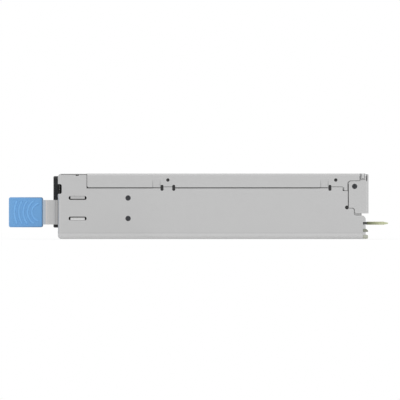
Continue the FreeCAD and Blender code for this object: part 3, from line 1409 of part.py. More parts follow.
def board_screws():
    screws = []
    middle = BOARD_TOP + BOARD_SCREW_HEAD / 2
    for x, y in post_places():
        head = rod(BOARD_SCREW_HEAD_R, (x, y, BOARD_TOP), Z, BOARD_SCREW_HEAD)
        head = filleted(head, BOARD_SCREW_HEAD / 3, lambda e: e.BoundBox.ZMin > middle)
        shank = rod(BOARD_SCREW_R - FIT / 4, (x, y, BOARD_Z - SCREW_LENGTH), Z, SCREW_LENGTH + BOARD_THICK)
        screws.append(fuse([head, shank]))
    return screws


def insulating_film():
    """Film folded to a trough: under the board with a clear hole round each post, and up both walls."""
    top = LAP_TOP - SEAM
    inner = FILM_BEND - FILM
    section = [
        (-FILM_OUT, SHEET, FILM_BEND), (FILM_OUT, SHEET, FILM_BEND), (FILM_OUT, top), (FILM_IN, top),
        (FILM_IN, SHEET + FILM, inner), (-FILM_IN, SHEET + FILM, inner), (-FILM_IN, top), (-FILM_OUT, top),
    ]
    trough = slab(section, "YZ", FACE_X + FILM_START, FILM_END)
    side = LATCH_PIVOT_Y - EAR_REACH
    front = box(FACE_X + BOARD_START, FACE_X + FILM_START, -side, side, SHEET, SHEET + FILM)
    holes = [rod(POST_R + FIT, (x, y, SHEET), Z, FILM) for x, y in post_places()]
    return cut(fuse([trough, front]), holes)


def connector_guide():
    """Moulded bar across the tray's end: a back with two lips that snap into notches of the walls."""
    inner_end = TRAY_END - GUIDE_EAR
    side = INNER - FIT / 2
    lip_end = TRAY_END + GUIDE_LIP
    neck = TRAY_END - GUIDE_EAR + GUIDE_BACK
    low = SHEET
    lip_top = GUIDE_HIGH_LIP_Z + GUIDE_LIP_THICK
    slope_end = lip_end - GUIDE_SLOPE
    profile = [
        (inner_end - GUIDE_EAR, low), (lip_end, low), (lip_end, GUIDE_LOW_LIP, GUIDE_ROUND),
        (neck, GUIDE_LOW_LIP, GUIDE_NECK_ROUND), (neck, GUIDE_HIGH_LIP_Z, GUIDE_NECK_ROUND),
        (lip_end, GUIDE_HIGH_LIP_Z), (lip_end, lip_top, GUIDE_ROUND), (slope_end, GUIDE_TOP, SEAM),
        (inner_end - GUIDE_EAR, GUIDE_TOP),
    ]
    bar = slab(profile, "XZ", -side, side).common(bend_section(side, low, BEND - SHEET))
    low_lip = box(inner_end + FIT / 2, lip_end, -HALF, HALF, FIT / 2, GUIDE_LOW_LIP - FIT / 2)
    high_z = GUIDE_HIGH_LIP_Z + FIT / 2
    top_z = GUIDE_TOP - FIT / 2
    high_side = [(inner_end + FIT / 2, high_z), (lip_end, high_z), (lip_end, lip_top, GUIDE_ROUND),
                 (slope_end, top_z), (inner_end + FIT / 2, top_z)]
    high_lip = slab(high_side, "XZ", -HALF, HALF)

    def lip_edges(edge):
        return edge.BoundBox.XMin > lip_end - TINY and edge.BoundBox.YLength > 1

    low_lip = filleted(low_lip, GUIDE_ROUND, lip_edges)
    return fuse([bar, low_lip.common(bend_section(HALF, FIT / 2, BEND)), high_lip])


def bend_section(side, low, radius):
    """Bar along X with the tray's cross-section: the two lower corners are round."""
    corners = [(-side, low, radius), (side, low, radius), (side, CASE_HEIGHT), (-side, CASE_HEIGHT)]
    return slab(corners, "YZ", TRAY_END - 5 * GUIDE_EAR, END_X)


# ---------------------------------------------------------------- circuit
def block(size, x, y, z=None, radius=0.0):
    """Upright block on the board (or at height z), centred at this x from the face and this y."""
    base = BOARD_TOP if z is None else z
    x0 = FACE_X + x - size[0] / 2
    y0 = y - size[1] / 2
    return slab(rectangle(x0, x0 + size[0], y0, y0 + size[1], radius), "XY", base, base + size[2])


def inlet_board():
    """Small upright board that the inlet's blades pass through."""
    x = FACE_X + INLET_DEPTH + INLET_BOARD_GAP
    board = slab(inlet_outline(INLET_BODY_WIDTH, INLET_BODY_HEIGHT, 0), "YZ", x, x + INLET_BOARD_THICK)
    return cut(board, inlet_pins())


def inlet_links():
    """Stiff copper links from the blades' ends down to the main board."""
    start = FACE_X + INLET_DEPTH + PIN_TAIL
    links = []
    for i, (y, z) in enumerate(pin_places()):
        x1 = FACE_X + BOARD_START + LINK_START + LINK_PITCH * (2 - i)
        wide = LINK if i != 1 else EARTH_LINK
        path = [(start, z - LINK / 2), (x1, z - LINK / 2), (x1, BOARD_TOP)]
        side = y - PIN_WIDTH / 4 if i != 2 else y + PIN_WIDTH / 4
        links.append(slab(bent_strip(path[::-1], LINK, LINK), "XZ", side - wide / 2, side + wide / 2))
    return links


def fuse_link():
    """Cartridge fuse lying in two clips."""
    z = BOARD_TOP + FUSE_R + 2 * CLIP
    x = FACE_X + FUSE_X
    tube = rod(FUSE_R - CLIP / 2, (x, FUSE_Y, z), X, FUSE_LENGTH)
    caps = [rod(FUSE_R, (x0, FUSE_Y, z), X, FUSE_CAP) for x0 in (x, x + FUSE_LENGTH - FUSE_CAP)]
    return fuse([tube] + caps)


def fuse_clips():
    z = BOARD_TOP + FUSE_R + 2 * CLIP
    clips = []
    for x0 in (FACE_X + FUSE_X, FACE_X + FUSE_X + FUSE_LENGTH - FUSE_CAP):
        hoop = ring(FUSE_R + CLIP, FUSE_R, (x0 + CLIP, FUSE_Y, z), X, FUSE_CAP - 2 * CLIP)
        mouth = box(x0, x0 + FUSE_CAP, FUSE_Y - CLIP_MOUTH, FUSE_Y + CLIP_MOUTH, z, z + 2 * FUSE_R)
        foot = box(x0 + CLIP, x0 + FUSE_CAP - CLIP, FUSE_Y - FUSE_R / 2, FUSE_Y + FUSE_R / 2, BOARD_TOP, z)
        foot = foot.cut(rod(FUSE_R, (x0, FUSE_Y, z), X, FUSE_CAP))
        clips.append(fuse([hoop.cut(mouth), foot]))
    return clips


def emi_choke():
    """Ring core on edge with two windings and a base."""
    x = FACE_X + EMI_X - EMI_THICK / 2
    z = BOARD_TOP + SADDLE / 2 + EMI_R
    wall = EMI_WIRE
    core = ring(EMI_R - wall, EMI_BORE + wall, (x + wall, EMI_Y, z), X, EMI_THICK - 2 * wall)
    winding = ring(EMI_R, EMI_BORE, (x, EMI_Y, z), X, EMI_THICK)
    windings = []
    for side in (-1, 1):
        middle = EMI_Y + side * (EMI_R + EMI_SPLIT) / 2
        reach = (EMI_R - EMI_SPLIT / 2) / 2
        high = EMI_R * EMI_WOUND
        room = box(x, x + EMI_THICK, middle - reach, middle + reach, z - high, z + high)
        windings.append(winding.common(room))
    base = block((EMI_THICK + EMI_SPLIT, EMI_R * EMI_BASE, SADDLE * 2), EMI_X, EMI_Y)
    base = base.cut(rod(EMI_R, (x - EMI_SPLIT, EMI_Y, z), X, EMI_THICK + 2 * EMI_SPLIT))
    return [fuse([core] + windings), base]


def x_capacitor():
    return block(X_CAP, X_CAP_X, X_CAP_Y, radius=X_CAP_ROUND)


def y_capacitors():
    """Disc capacitors on edge, on two leads each."""
    caps = []
    for side in (-1, 1):
        y = EMI_Y + side * Y_CAP_PITCH / 2
        x = FACE_X + Y_CAP_X
        z = BOARD_TOP + LEAD_HEIGHT + Y_CAP_R
        disc = rod(Y_CAP_R, (x - Y_CAP_THICK / 2, y, z), X, Y_CAP_THICK)
        disc = filleted(disc, Y_CAP_THICK / 3, lambda e: e.BoundBox.XLength < TINY)
        reach = Y_CAP_R / 2
        legs = [rod(LEAD / 2, (x, y + s * reach, BOARD_TOP), Z, LEAD_HEIGHT + reach) for s in (-1, 1)]
        caps.append(fuse([disc] + legs))
    return caps


def relay():
    return block(RELAY, RELAY_X, RELAY_Y, radius=SMALL_ROUND)


def bulk_capacitors():
    """Cans lying along the supply, each with a crimped groove and a rubber seal end."""
    cans = []
    z = BOARD_TOP + SADDLE / 3 + BULK_R
    for i in range(BULK_COUNT):
        x0 = FACE_X + BULK_X + i * (BULK_LENGTH + BULK_GAP)
        x1 = x0 + BULK_LENGTH
        can = rod(BULK_R, (x0, BULK_Y, z), X, BULK_LENGTH)


        def ends(edge):
            return edge.BoundBox.XMax < x0 + TINY or edge.BoundBox.XMin > x1 - TINY

        can = filleted(can, BULK_ROUND, ends)
        groove_centre = FreeCAD.Vector(x0 + BULK_GROOVE, BULK_Y, z)
        groove = Part.makeTorus(BULK_R + BULK_GROOVE_OUT, BULK_GROOVE_R, groove_centre, X)
        cans.append(can.cut(groove))
    return cans


def capacitor_saddle():
    """Moulded cradle that the cans lie in."""
    z = BOARD_TOP + SADDLE / 3 + BULK_R
    length = BULK_COUNT * (BULK_LENGTH + BULK_GAP) - BULK_GAP - 4 * SADDLE
    x = BULK_X + 2 * SADDLE + length / 2
    cradle = block((length, BULK_R * CRADLE_SHARE, SADDLE * CRADLE_SHARE), x, BULK_Y)
    return cradle.cut(rod(BULK_R, (FACE_X, BULK_Y, z), X, CASE_LENGTH))


def bridge_rectifier():
    low = BOARD_TOP + LEAD_HEIGHT
    body = block(BRIDGE, BRIDGE_X, BRIDGE_Y, low, BRIDGE_ROUND)
    hole = rod(BRIDGE_HOLE_R, (FACE_X, BRIDGE_Y, low + BRIDGE[2] * BRIDGE_HOLE_SHARE), X, CASE_LENGTH)
    pitch = BRIDGE[1] * BRIDGE_PITCH_SHARE
    legs = [block((LEAD, LEAD, LEAD_HEIGHT), BRIDGE_X, BRIDGE_Y + (k - 1.5) * pitch) for k in range(4)]
    return fuse([body.cut(hole)] + legs)


def pfc_choke():
    """Wound ring on edge: separate turns round a core, on a base."""
    z = BOARD_TOP + SADDLE / 3 + PFC_R
    y0 = PFC_Y - PFC_THICK / 2
    centre = (FACE_X + PFC_X, y0, z)
    wall = PFC_WIRE
    core = ring(PFC_R - wall, PFC_BORE + wall, (centre[0], y0 + wall, z), Y, PFC_THICK - 2 * wall)
    turns = []
    for i in range(PFC_TURNS):
        turn = box(centre[0] + PFC_BORE, centre[0] + PFC_R, y0, y0 + PFC_THICK, z - wall / 2, z + wall / 2)
        turns.append(turned(turn, Y, (i + 0.5) * 360 / PFC_TURNS, centre))
    base = block((PFC_R * PFC_BASE, PFC_THICK, PFC_BASE_HEIGHT), PFC_X, PFC_Y)
    return [fuse([core] + turns), base.cut(rod(PFC_R + PFC_BASE_GAP, centre, Y, PFC_THICK))]


def primary_heatsink():
    """Finned plate along the wall, with the power switches clamped to its plain side."""
    x0 = FACE_X + SINK_X
    pitch = (SINK_LENGTH - SINK_FIN) / (SINK_FINS - 1)
    plate = box(x0, x0 + SINK_LENGTH, SINK_Y, SINK_Y + SINK_BASE, BOARD_TOP, BOARD_TOP + SINK_HEIGHT)
    y0 = SINK_Y + SINK_BASE
    fins = []
    for i in range(SINK_FINS):
        x = x0 + i * pitch
        fins.append(box(x, x + SINK_FIN, y0, y0 + SINK_FIN_REACH, BOARD_TOP, BOARD_TOP + SINK_HEIGHT))
    return fuse([plate] + fins)


def primary_switches():
    pitch = SINK_LENGTH / SWITCH_COUNT
    low = BOARD_TOP + LEAD_HEIGHT
    tab_y = SINK_Y - SWITCH_TAB
    leg_y = SINK_Y - SWITCH[1] / 2
    switches = []
    for i in range(SWITCH_COUNT):
        x = FACE_X + SINK_X + (i + 0.5) * pitch
        x0 = x - SWITCH[0] / 2
        x1 = x0 + SWITCH[0]
        body = box(x0, x1, SINK_Y - SWITCH[1], tab_y, low, low + SWITCH[2])
        tab = box(x0, x1, tab_y, SINK_Y, low, low + SWITCH[2] + SWITCH_TAB_RISE)
        legs = [block((LEAD, LEAD, LEAD_HEIGHT), x - FACE_X + k * LEG_PITCH, leg_y) for k in (-1, 0, 1)]
        switches.append(fuse([body, tab] + legs))
    return switches


def resonant_choke():
    """Two-part core standing on the board, with its wound round leg in the window."""
    body = block(RESONANT, RESONANT_X, RESONANT_Y, radius=SMALL_ROUND)
    low = BOARD_TOP + RESONANT_YOKE
    height = RESONANT[2] - 2 * RESONANT_YOKE
    window = block((RESONANT[0] - 2 * RESONANT_YOKE, RESONANT[1] * 2, height), RESONANT_X, RESONANT_Y, low)
    leg = rod(RESONANT_LEG_R, (FACE_X + RESONANT_X, RESONANT_Y, low - SHEET), Z, height + 2 * SHEET)
    return body.cut(window).fuse(leg)


def transformer_core():
    """Round-legged power core: top and bottom yokes, two side legs and a centre leg."""
    body = block(CORE, CORE_X, CORE_Y, radius=CORE_ROUND)
    low = BOARD_TOP + CORE_YOKE
    height = CORE[2] - 2 * CORE_YOKE
    room = rod(WINDING_R + FIT, (FACE_X + CORE_X, CORE_Y, low), Z, height)
    through = block((CORE[0] * 2, 2 * (WINDING_R - CORE_WINDOW_STEP), height), CORE_X, CORE_Y, low)
    leg = rod(CORE_LEG_R, (FACE_X + CORE_X, CORE_Y, low), Z, height)
    return fuse([cut(body, [room, through]), leg])


def transformer_windings():
    """Wound sections stacked on the centre leg."""
    low = BOARD_TOP + CORE_YOKE
    height = CORE[2] - 2 * CORE_YOKE
    start = (FACE_X + CORE_X, CORE_Y, low)
    spool = ring(WINDING_R - SPOOL_STEP, CORE_LEG_R, start, Z, height)
    step = height / 5
    discs = []
    for k in range(2):
        place = (start[0], start[1], low + (2 * k + 0.5) * step)
        discs.append(ring(WINDING_R, WINDING_R - SPOOL_LAP, place, Z, step))
    return fuse([spool] + discs)


def standby_transformer():
    core = block(STANDBY, STANDBY_X, STANDBY_Y, radius=SMALL_ROUND)
    wide = STANDBY[1] - 2 * STANDBY_LEG
    high = STANDBY[2] - 2 * STANDBY_YOKE
    low = BOARD_TOP + STANDBY_YOKE
    window = block((STANDBY[0] * 2, wide, high), STANDBY_X, STANDBY_Y, low)
    bobbin = block((STANDBY[0] + STANDBY_LEG, wide, high), STANDBY_X, STANDBY_Y, low, CORE_ROUND)
    return [core.cut(window), bobbin]


def control_board():
    return block((CONTROL_LENGTH, CONTROL_THICK, CONTROL_HEIGHT), CONTROL_X, CONTROL_Y)


def control_chips():
    pitch = CONTROL_LENGTH / CHIP_COUNT
    first = CONTROL_X - CONTROL_LENGTH / 2 + pitch / 2
    y = CONTROL_Y + CONTROL_THICK / 2 + CHIP[1] / 2
    return [block(CHIP, first + i * pitch, y, BOARD_TOP + CONTROL_HEIGHT / 3) for i in range(CHIP_COUNT)]


def output_board():
    return block(OUTPUT_BOARD, OUTPUT_X, OUTPUT_Y)


def output_switches():
    pitch = OUTPUT_BOARD[1] / OUTPUT_CHIPS
    first = OUTPUT_Y - OUTPUT_BOARD[1] / 2 + pitch / 2
    x = OUTPUT_X + OUTPUT_BOARD[0] / 2 + OUTPUT_CHIP[0] / 2
    z = BOARD_TOP + OUTPUT_BOARD[2] / 2
    return [block(OUTPUT_CHIP, x, first + i * pitch, z) for i in range(OUTPUT_CHIPS)]


def output_bars():
    """Copper bars on edge from the output board to the card edge."""
    x0 = FACE_X + OUTPUT_X + OUTPUT_BOARD[0] / 2
    x1 = END_X - BOARD_END_GAP - BAR_THICK
    bars = []
    for k in range(BAR_COUNT):
        y = OUTPUT_Y + (k - BAR_COUNT // 2) * BAR_PITCH
        bars.append(box(x0, x1, y - BAR_THICK / 2, y + BAR_THICK / 2, BOARD_TOP, BOARD_TOP + BAR_HEIGHT))
    return bars


def output_capacitors():
    """Small cans in rows between the output board and the card edge."""
    cans = []
    for i in range(OUTPUT_CAP_ROWS):
        for j in range(OUTPUT_CAP_COUNT):
            x = FACE_X + OUTPUT_CAP_X + (i - 0.5) * OUTPUT_CAP_PITCH
            y = OUTPUT_CAP_Y - j * OUTPUT_CAP_PITCH
            cans.append(rod(OUTPUT_CAP_R, (x, y, BOARD_TOP), Z, OUTPUT_CAP_HEIGHT))
    return cans


def fan_header():
    return block(HEADER, BOARD_START + HEADER[0] * 1.5, HEADER_Y)


def fan_lead():
    """Wires from the motor's base, straight back and down into the header."""
    x1 = FACE_X + BOARD_START + HEADER[0] * 1.5
    start = FreeCAD.Vector(FAN_BACK, HEADER_Y, FAN_Z)
    corner = FreeCAD.Vector(x1, HEADER_Y, FAN_Z)
    end = FreeCAD.Vector(x1, HEADER_Y, BOARD_TOP + HEADER[2])
    radius = LEAD_BEND_SHARE * min(x1 - FAN_BACK, FAN_Z - end.z)
    a = corner - X * radius
    b = corner - Z * radius
    centre = corner - (X + Z) * radius
    middle = centre + (X + Z) * (radius / math.sqrt(2))
    path = Part.Wire([Part.makeLine(start, a), Part.Arc(a, middle, b).toShape(), Part.makeLine(b, end)])
    section = Part.Wire(Part.makeCircle(LEAD_R, start, X))
    return path.makePipeShell([section], True, True)


NODES = {
    "tray": tray,
    "cover": cover,
    "end_cap": end_cap,
    "handle_strap": handle_strap,
    "handle_grip": handle_grip,
    "handle_rivets": handle_rivets,
    "inlet_housing": inlet_housing,
    "inlet_pins": inlet_pins,
    "inlet_board": inlet_board,
    "inlet_links": inlet_links,
    "fan_frame": fan_frame,
    "fan_rotor": fan_rotor,
    "fan_shaft": fan_shaft,
    "fan_magnet": fan_magnet,
    "fan_bearings": fan_bearings,
    "fan_stator": fan_stator,
    "fan_coils": fan_coils,
    "fan_board": fan_board,
    "fan_bracket": fan_bracket,
    "fan_header": fan_header,
    "fan_lead": fan_lead,
    "wall_screws": wall_screws,
    "end_cap_screws": end_cap_screws,
    "light_pipe": light_pipe,
    "latch_lever": latch_lever,
    "latch_tab": latch_tab,
    "latch_bracket": latch_bracket,
    "latch_pin": latch_pin,
    "latch_spring": latch_spring,
    "main_board": main_board,
    "card_contacts": card_contacts,
    "board_posts": board_posts,
    "board_screws": board_screws,
    "insulating_film": insulating_film,
    "connector_guide": connector_guide,
    "fuse": fuse_link,
    "fuse_clips": fuse_clips,
    "emi_choke": emi_choke,
    "x_capacitor": x_capacitor,
    "y_capacitors": y_capacitors,
    "relay": relay,
    "bridge_rectifier": bridge_rectifier,
    "bulk_capacitors": bulk_capacitors,
    "capacitor_saddle": capacitor_saddle,
    "pfc_choke": pfc_choke,
    "primary_heatsink": primary_heatsink,
    "primary_switches": primary_switches,
    "resonant_choke": resonant_choke,
    "transformer_core": transformer_core,
    "transformer_windings": transformer_windings,
    "standby_transformer": standby_transformer,
    "control_board": control_board,
    "control_chips": control_chips,
    "output_board": output_board,
    "output_switches": output_switches,
    "output_bars": output_bars,
    "output_capacitors": output_capacitors,
}

for name, make in NODES.items():
    save(name, make())
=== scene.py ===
import math

import bmesh
import bpy
from mathutils import Matrix, Vector


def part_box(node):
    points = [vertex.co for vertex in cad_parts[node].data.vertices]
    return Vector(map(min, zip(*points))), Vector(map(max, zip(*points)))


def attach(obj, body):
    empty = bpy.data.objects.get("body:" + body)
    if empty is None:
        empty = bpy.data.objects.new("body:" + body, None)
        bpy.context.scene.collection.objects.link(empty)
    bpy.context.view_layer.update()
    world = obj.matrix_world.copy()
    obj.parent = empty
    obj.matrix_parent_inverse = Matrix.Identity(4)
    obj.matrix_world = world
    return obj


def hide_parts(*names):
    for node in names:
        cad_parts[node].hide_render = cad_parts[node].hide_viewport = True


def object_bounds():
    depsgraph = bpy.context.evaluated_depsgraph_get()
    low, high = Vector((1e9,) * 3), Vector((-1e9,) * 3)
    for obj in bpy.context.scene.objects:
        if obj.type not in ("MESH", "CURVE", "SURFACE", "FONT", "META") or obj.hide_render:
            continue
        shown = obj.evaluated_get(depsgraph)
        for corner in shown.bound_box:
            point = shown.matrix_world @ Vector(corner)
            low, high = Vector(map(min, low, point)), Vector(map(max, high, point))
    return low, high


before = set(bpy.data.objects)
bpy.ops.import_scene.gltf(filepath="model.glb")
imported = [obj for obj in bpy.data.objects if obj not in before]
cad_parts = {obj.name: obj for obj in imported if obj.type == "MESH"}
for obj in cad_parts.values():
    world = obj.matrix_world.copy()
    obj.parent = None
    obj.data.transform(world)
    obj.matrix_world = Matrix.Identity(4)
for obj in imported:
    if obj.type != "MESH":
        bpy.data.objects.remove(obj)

bl_info = {
    "name": "Hot Swap Supply Finisher",
    "version": (1, 0, 0),
    "blender": (4, 5, 0),
    "location": "View3D > Sidebar > Supply",
    "description": "Finishes a server power supply: moulded grip, screws, capacitors, finishes and stage",
    "category": "Object",
}

CAD_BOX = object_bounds()
MICRON = 0.000001
SAME_PLACE = 0.000001       # two coordinates closer than this are one


def display(red, green, blue):
    """Scene linear colour from display values of 0 to 255."""
    shares = [value / 255 for value in (red, green, blue)]
    linear = [((share + 0.055) / 1.055) ** 2.4 if share > 0.04045 else share / 12.92 for share in shares]
    return (*linear, 1.0)


def length(name, about, value):
    return bpy.props.FloatProperty(
        name=name, description=about, default=value, min=0.0, unit="LENGTH", precision=5)


def colour(name, about, red, green, blue):
    return bpy.props.FloatVectorProperty(
        name=name, description=about, default=display(red, green, blue), size=4, min=0.0, max=1.0,
        subtype="COLOR")


def power(name, about, value):
    return bpy.props.FloatProperty(name=name, description=about, default=value, min=0.0)


# ---------------------------------------------------------------- what a user may change
class SupplySizes(bpy.types.PropertyGroup):
    grip_corner: length("Grip corner", "Radius of the grip's front corners, seen from above", 0.004)
    grip_edge: length("Grip edge", "Rounding along the grip's rims", 0.0011)
    grip_wall: length("Grip wall", "Thickness of a cheek with the strap inside it", 0.0043)
    ridge_height: length("Ridge height", "How far a ridge stands out of the cheek", 0.00035)
    ridge_width: length("Ridge width", "Width of one arched ridge", 0.0013)
    ridge_pitch: length("Ridge pitch", "Step from one ridge to the next", 0.0026)
    ridge_first: length("First ridge", "Radius of the smallest ridge", 0.0054)
    ridge_count: bpy.props.IntProperty(
        name="Ridges", description="Arched ridges on each cheek", default=5, min=1, max=8)
    ridge_sink: length("Ridge root", "How far a ridge reaches into the cheek", 0.0004)
    ridge_inset: length("Ridge inset", "Middle of the arches, before the grip's open end", 0.001)
    drive_reach: length("Drive reach", "From a screw's middle to the end of a recess arm", 0.001)
    drive_arm: length("Drive arm", "Half the width of a recess arm", 0.00023)
    drive_depth: length("Drive depth", "Depth of the recess", 0.0005)
    wall_head: length("Flat head", "Depth of a wall screw's flat head", 0.0007)
    wall_shank: length("Wall shank", "Shank radius of a wall screw", 0.00098)
    board_head: length("Pan head", "Depth of a board screw's head", 0.0014)
    board_shank: length("Board shank", "Shank radius of a board screw", 0.0013)
    board_dome: length("Pan rounding", "Height and reach of a board screw's rounded rim", 0.0004)
    shank_short: length("Shank end", "How far a shank ends before the CAD screw's end", 0.0001)
    can_rim: length("Can rim", "Width of a capacitor's crimped rim", 0.0009)
    can_sink: length("Can top", "Depth of the bare top inside its rim", 0.0003)
    can_score: length("Can score", "Half the width, and the depth, of the lines scored in a top", 0.00014)
    can_groove: length("Can groove", "Height of the groove over a can's base", 0.0022)
    can_groove_depth: length("Groove depth", "Depth of that groove", 0.0005)


class SupplyColours(bpy.types.PropertyGroup):
    case: colour("Case steel", "Zinc plated sheet of tray, cover and end cap", 195, 195, 195)
    strap: colour("Strap steel", "Satin strap of the handle", 190, 190, 190)
    # Painted reflection of the blue sleeve on the strap beside it.
    strap_reflection: colour("Strap by the grip", "Strap next to the blue sleeve, which it mirrors", 178, 188, 199)
    # Painted highlight line on the strap by the sleeve.
    strap_highlight: colour("Strap line", "Bright line where the sleeve has polished the strap", 204, 199, 197)
    small: colour("Small steel", "Rivets, pins and springs", 168, 169, 172)
    dark: colour("Dark screws", "Screws with a dark finish", 74, 75, 78)
    grip: colour("Grip plastic", "Blue sleeve on the handle", 115, 173, 226)
    # Painted shade between the sleeve's ridges.
    grip_valley_shade: colour("Grip grooves", "The sleeve between its ridges", 104, 160, 213)
    # Painted shade on the sleeve's rims at its open end and underside.
    grip_rim_shade: colour("Grip rims", "The sleeve's handled rims at its open end and underside", 88, 124, 160)
    tab: colour("Release tab", "Thumb piece of the release latch", 104, 157, 213)
    black: colour("Black plastic", "Inlet, fan and connectors", 27, 28, 30)
    brass: colour("Plated brass", "Inlet pins", 205, 200, 188)
    gold: colour("Contact gold", "Contacts on the card edge", 196, 178, 112)
    copper: colour("Copper", "Windings and bars", 190, 112, 70)
    board: colour("Board face", "Coated faces of the boards", 40, 62, 46)
    board_edge: colour("Board edge", "Bare laminate at the tongue's edges", 212, 219, 178)
    # Edge colour near the tongue's root, blending to the lighter edge colour towards the tip.
    board_root_tone: colour("Board root", "Laminate at the tongue's root, stained by its mask", 128, 135, 98)
    # Edge colour of the board inside the tray's end.
    board_dark: colour("Board sides", "Masked sides of the board inside the case", 60, 60, 58)
    ferrite: colour("Ferrite", "Cores", 52, 52, 55)
    guide: colour("Guide plastic", "Upper lip of the connector guide", 134, 136, 122)
    # Lighter colour for the guide's lower lip than for its upper one.
    guide_low: colour("Guide's lower lip", "Lower lip, worn lighter by the slot", 184, 186, 173)
    film: colour("Insulating film", "Black trough under the main board and up the walls", 24, 24, 26)
    aluminium: colour("Aluminium", "Heatsink and can tops", 196, 198, 202)
    yellow: colour("Yellow plastic", "Film capacitor and tape", 216, 178, 62)
    disc: colour("Blue disc", "Dipped disc capacitors", 46, 92, 158)
    sleeve: colour("Can sleeve", "Shrunk sleeve on the capacitors", 38, 38, 44)
    white: colour("White plastic", "Header and bobbins", 232, 230, 224)
    lead: colour("Lead", "Fan's wires", 36, 34, 34)
    clear: colour("Light pipe", "Clear moulding of the status light", 226, 236, 228)


class SupplyStage(bpy.types.PropertyGroup):
    frame_width: length("Frame width", "Width that the camera sees at the object", 0.2382)
    lens: bpy.props.FloatProperty(
        name="Lens", description="Focal length in millimetres", default=1650.0, min=20.0)
    look_right: bpy.props.FloatProperty(
        name="Look right", description="View's middle from the object's middle", default=0.00088,
        unit="LENGTH")
    look_up: length("Look up", "Height of the view's middle over the floor", 0.0232)
    floor: colour("Floor", "Floor and surroundings", 255, 255, 255)
    floor_half: length("Floor reach", "From the floor's middle to its sides", 0.9)
    sky_light: power("Sky light", "Plain light from all round", 0.86)
    key_light: power("Key light", "Power of the large soft lamp", 3.5)
    fill_light: power("Fill light", "Power of the side and rear lamps", 1.65)


def settings():
    scene = bpy.context.scene
    return scene.supply_sizes, scene.supply_colours, scene.supply_stage


# ---------------------------------------------------------------- shader groups
def socket(tree, name, side, kind, value=None):
    made = tree.interface.new_socket(name, in_out=side, socket_type=kind)
    if value is not None:
        made.default_value = value
    return made


def new_group(name, inputs):
    """Shader group with the given inputs, and outputs for colour, roughness and height."""
    tree = bpy.data.node_groups.new(name, "ShaderNodeTree")
    socket(tree, "Vector", "INPUT", "NodeSocketVector")
    socket(tree, "Colour", "INPUT", "NodeSocketColor", (0.5, 0.5, 0.5, 1.0))
    for label, value in inputs.items():
        socket(tree, label, "INPUT", "NodeSocketFloat", value)
    socket(tree, "Colour", "OUTPUT", "NodeSocketColor")
    socket(tree, "Roughness", "OUTPUT", "NodeSocketFloat")
    socket(tree, "Height", "OUTPUT", "NodeSocketFloat")
    return tree, tree.nodes.new("NodeGroupInput"), tree.nodes.new("NodeGroupOutput")


def maths(tree, operation, first, second):
    node = tree.nodes.new("ShaderNodeMath")
    node.operation = operation
    for place, value in enumerate((first, second)):
        if isinstance(value, (int, float)):
            node.inputs[place].default_value = value
        else:
            tree.links.new(value, node.inputs[place])
    return node.outputs[0]


def noise(tree, vector, scale, detail=2.0, stretch=None):
    """Noise around zero, with a scale for each axis if wanted."""
    if stretch:
        mapping = tree.nodes.new("ShaderNodeMapping")
        mapping.inputs["Scale"].default_value = stretch
        tree.links.new(vector, mapping.inputs["Vector"])
        vector = mapping.outputs["Vector"]
    node = tree.nodes.new("ShaderNodeTexNoise")
    node.inputs["Scale"].default_value = scale
    node.inputs["Detail"].default_value = detail
    tree.links.new(vector, node.inputs["Vector"])
    return maths(tree, "SUBTRACT", node.outputs["Fac"], 0.5)


def lightened(tree, colour_socket, amount):
    """Colour multiplied by one plus amount."""
    node = tree.nodes.new("ShaderNodeVectorMath")
    node.operation = "SCALE"
    tree.links.new(colour_socket, node.inputs[0])
    tree.links.new(maths(tree, "ADD", amount, 1.0), node.inputs["Scale"])
    return node.outputs[0]


def rolled_sheet_group():
    """Rolled and plated sheet: fine lines along X, clouding of the plating and faint handling marks."""
    tree, given, out = new_group("rolled sheet", {"Roughness": 0.35, "Spread": 0.05, "Lines": 0.5})
    vector = given.outputs["Vector"]
    lines = noise(tree, vector, scale=1.0, detail=4.0, stretch=(90.0, 2600.0, 2600.0))
    clouds = noise(tree, vector, scale=55.0, detail=3.0)
    grain = noise(tree, vector, scale=2400.0, detail=1.0)
    marks = noise(tree, vector, scale=16.0, detail=5.0)
    drawn = maths(tree, "MULTIPLY", lines, given.outputs["Lines"])
    shade = maths(tree, "ADD", maths(tree, "ADD", drawn, clouds), maths(tree, "MULTIPLY", grain, 0.5))
    shade = maths(tree, "MULTIPLY", shade, given.outputs["Spread"])
    tree.links.new(lightened(tree, given.outputs["Colour"], shade), out.inputs["Colour"])
    rough = maths(tree, "ADD", given.outputs["Roughness"], maths(tree, "MULTIPLY", clouds, 0.22))
    rough = maths(tree, "ADD", rough, maths(tree, "MULTIPLY", marks, 0.16))
    rough = maths(tree, "ADD", rough, maths(tree, "MULTIPLY", lines, 0.12))
    tree.links.new(rough, out.inputs["Roughness"])
    height = maths(tree, "ADD", drawn, maths(tree, "MULTIPLY", grain, 0.35))
    tree.links.new(height, out.inputs["Height"])
    return tree


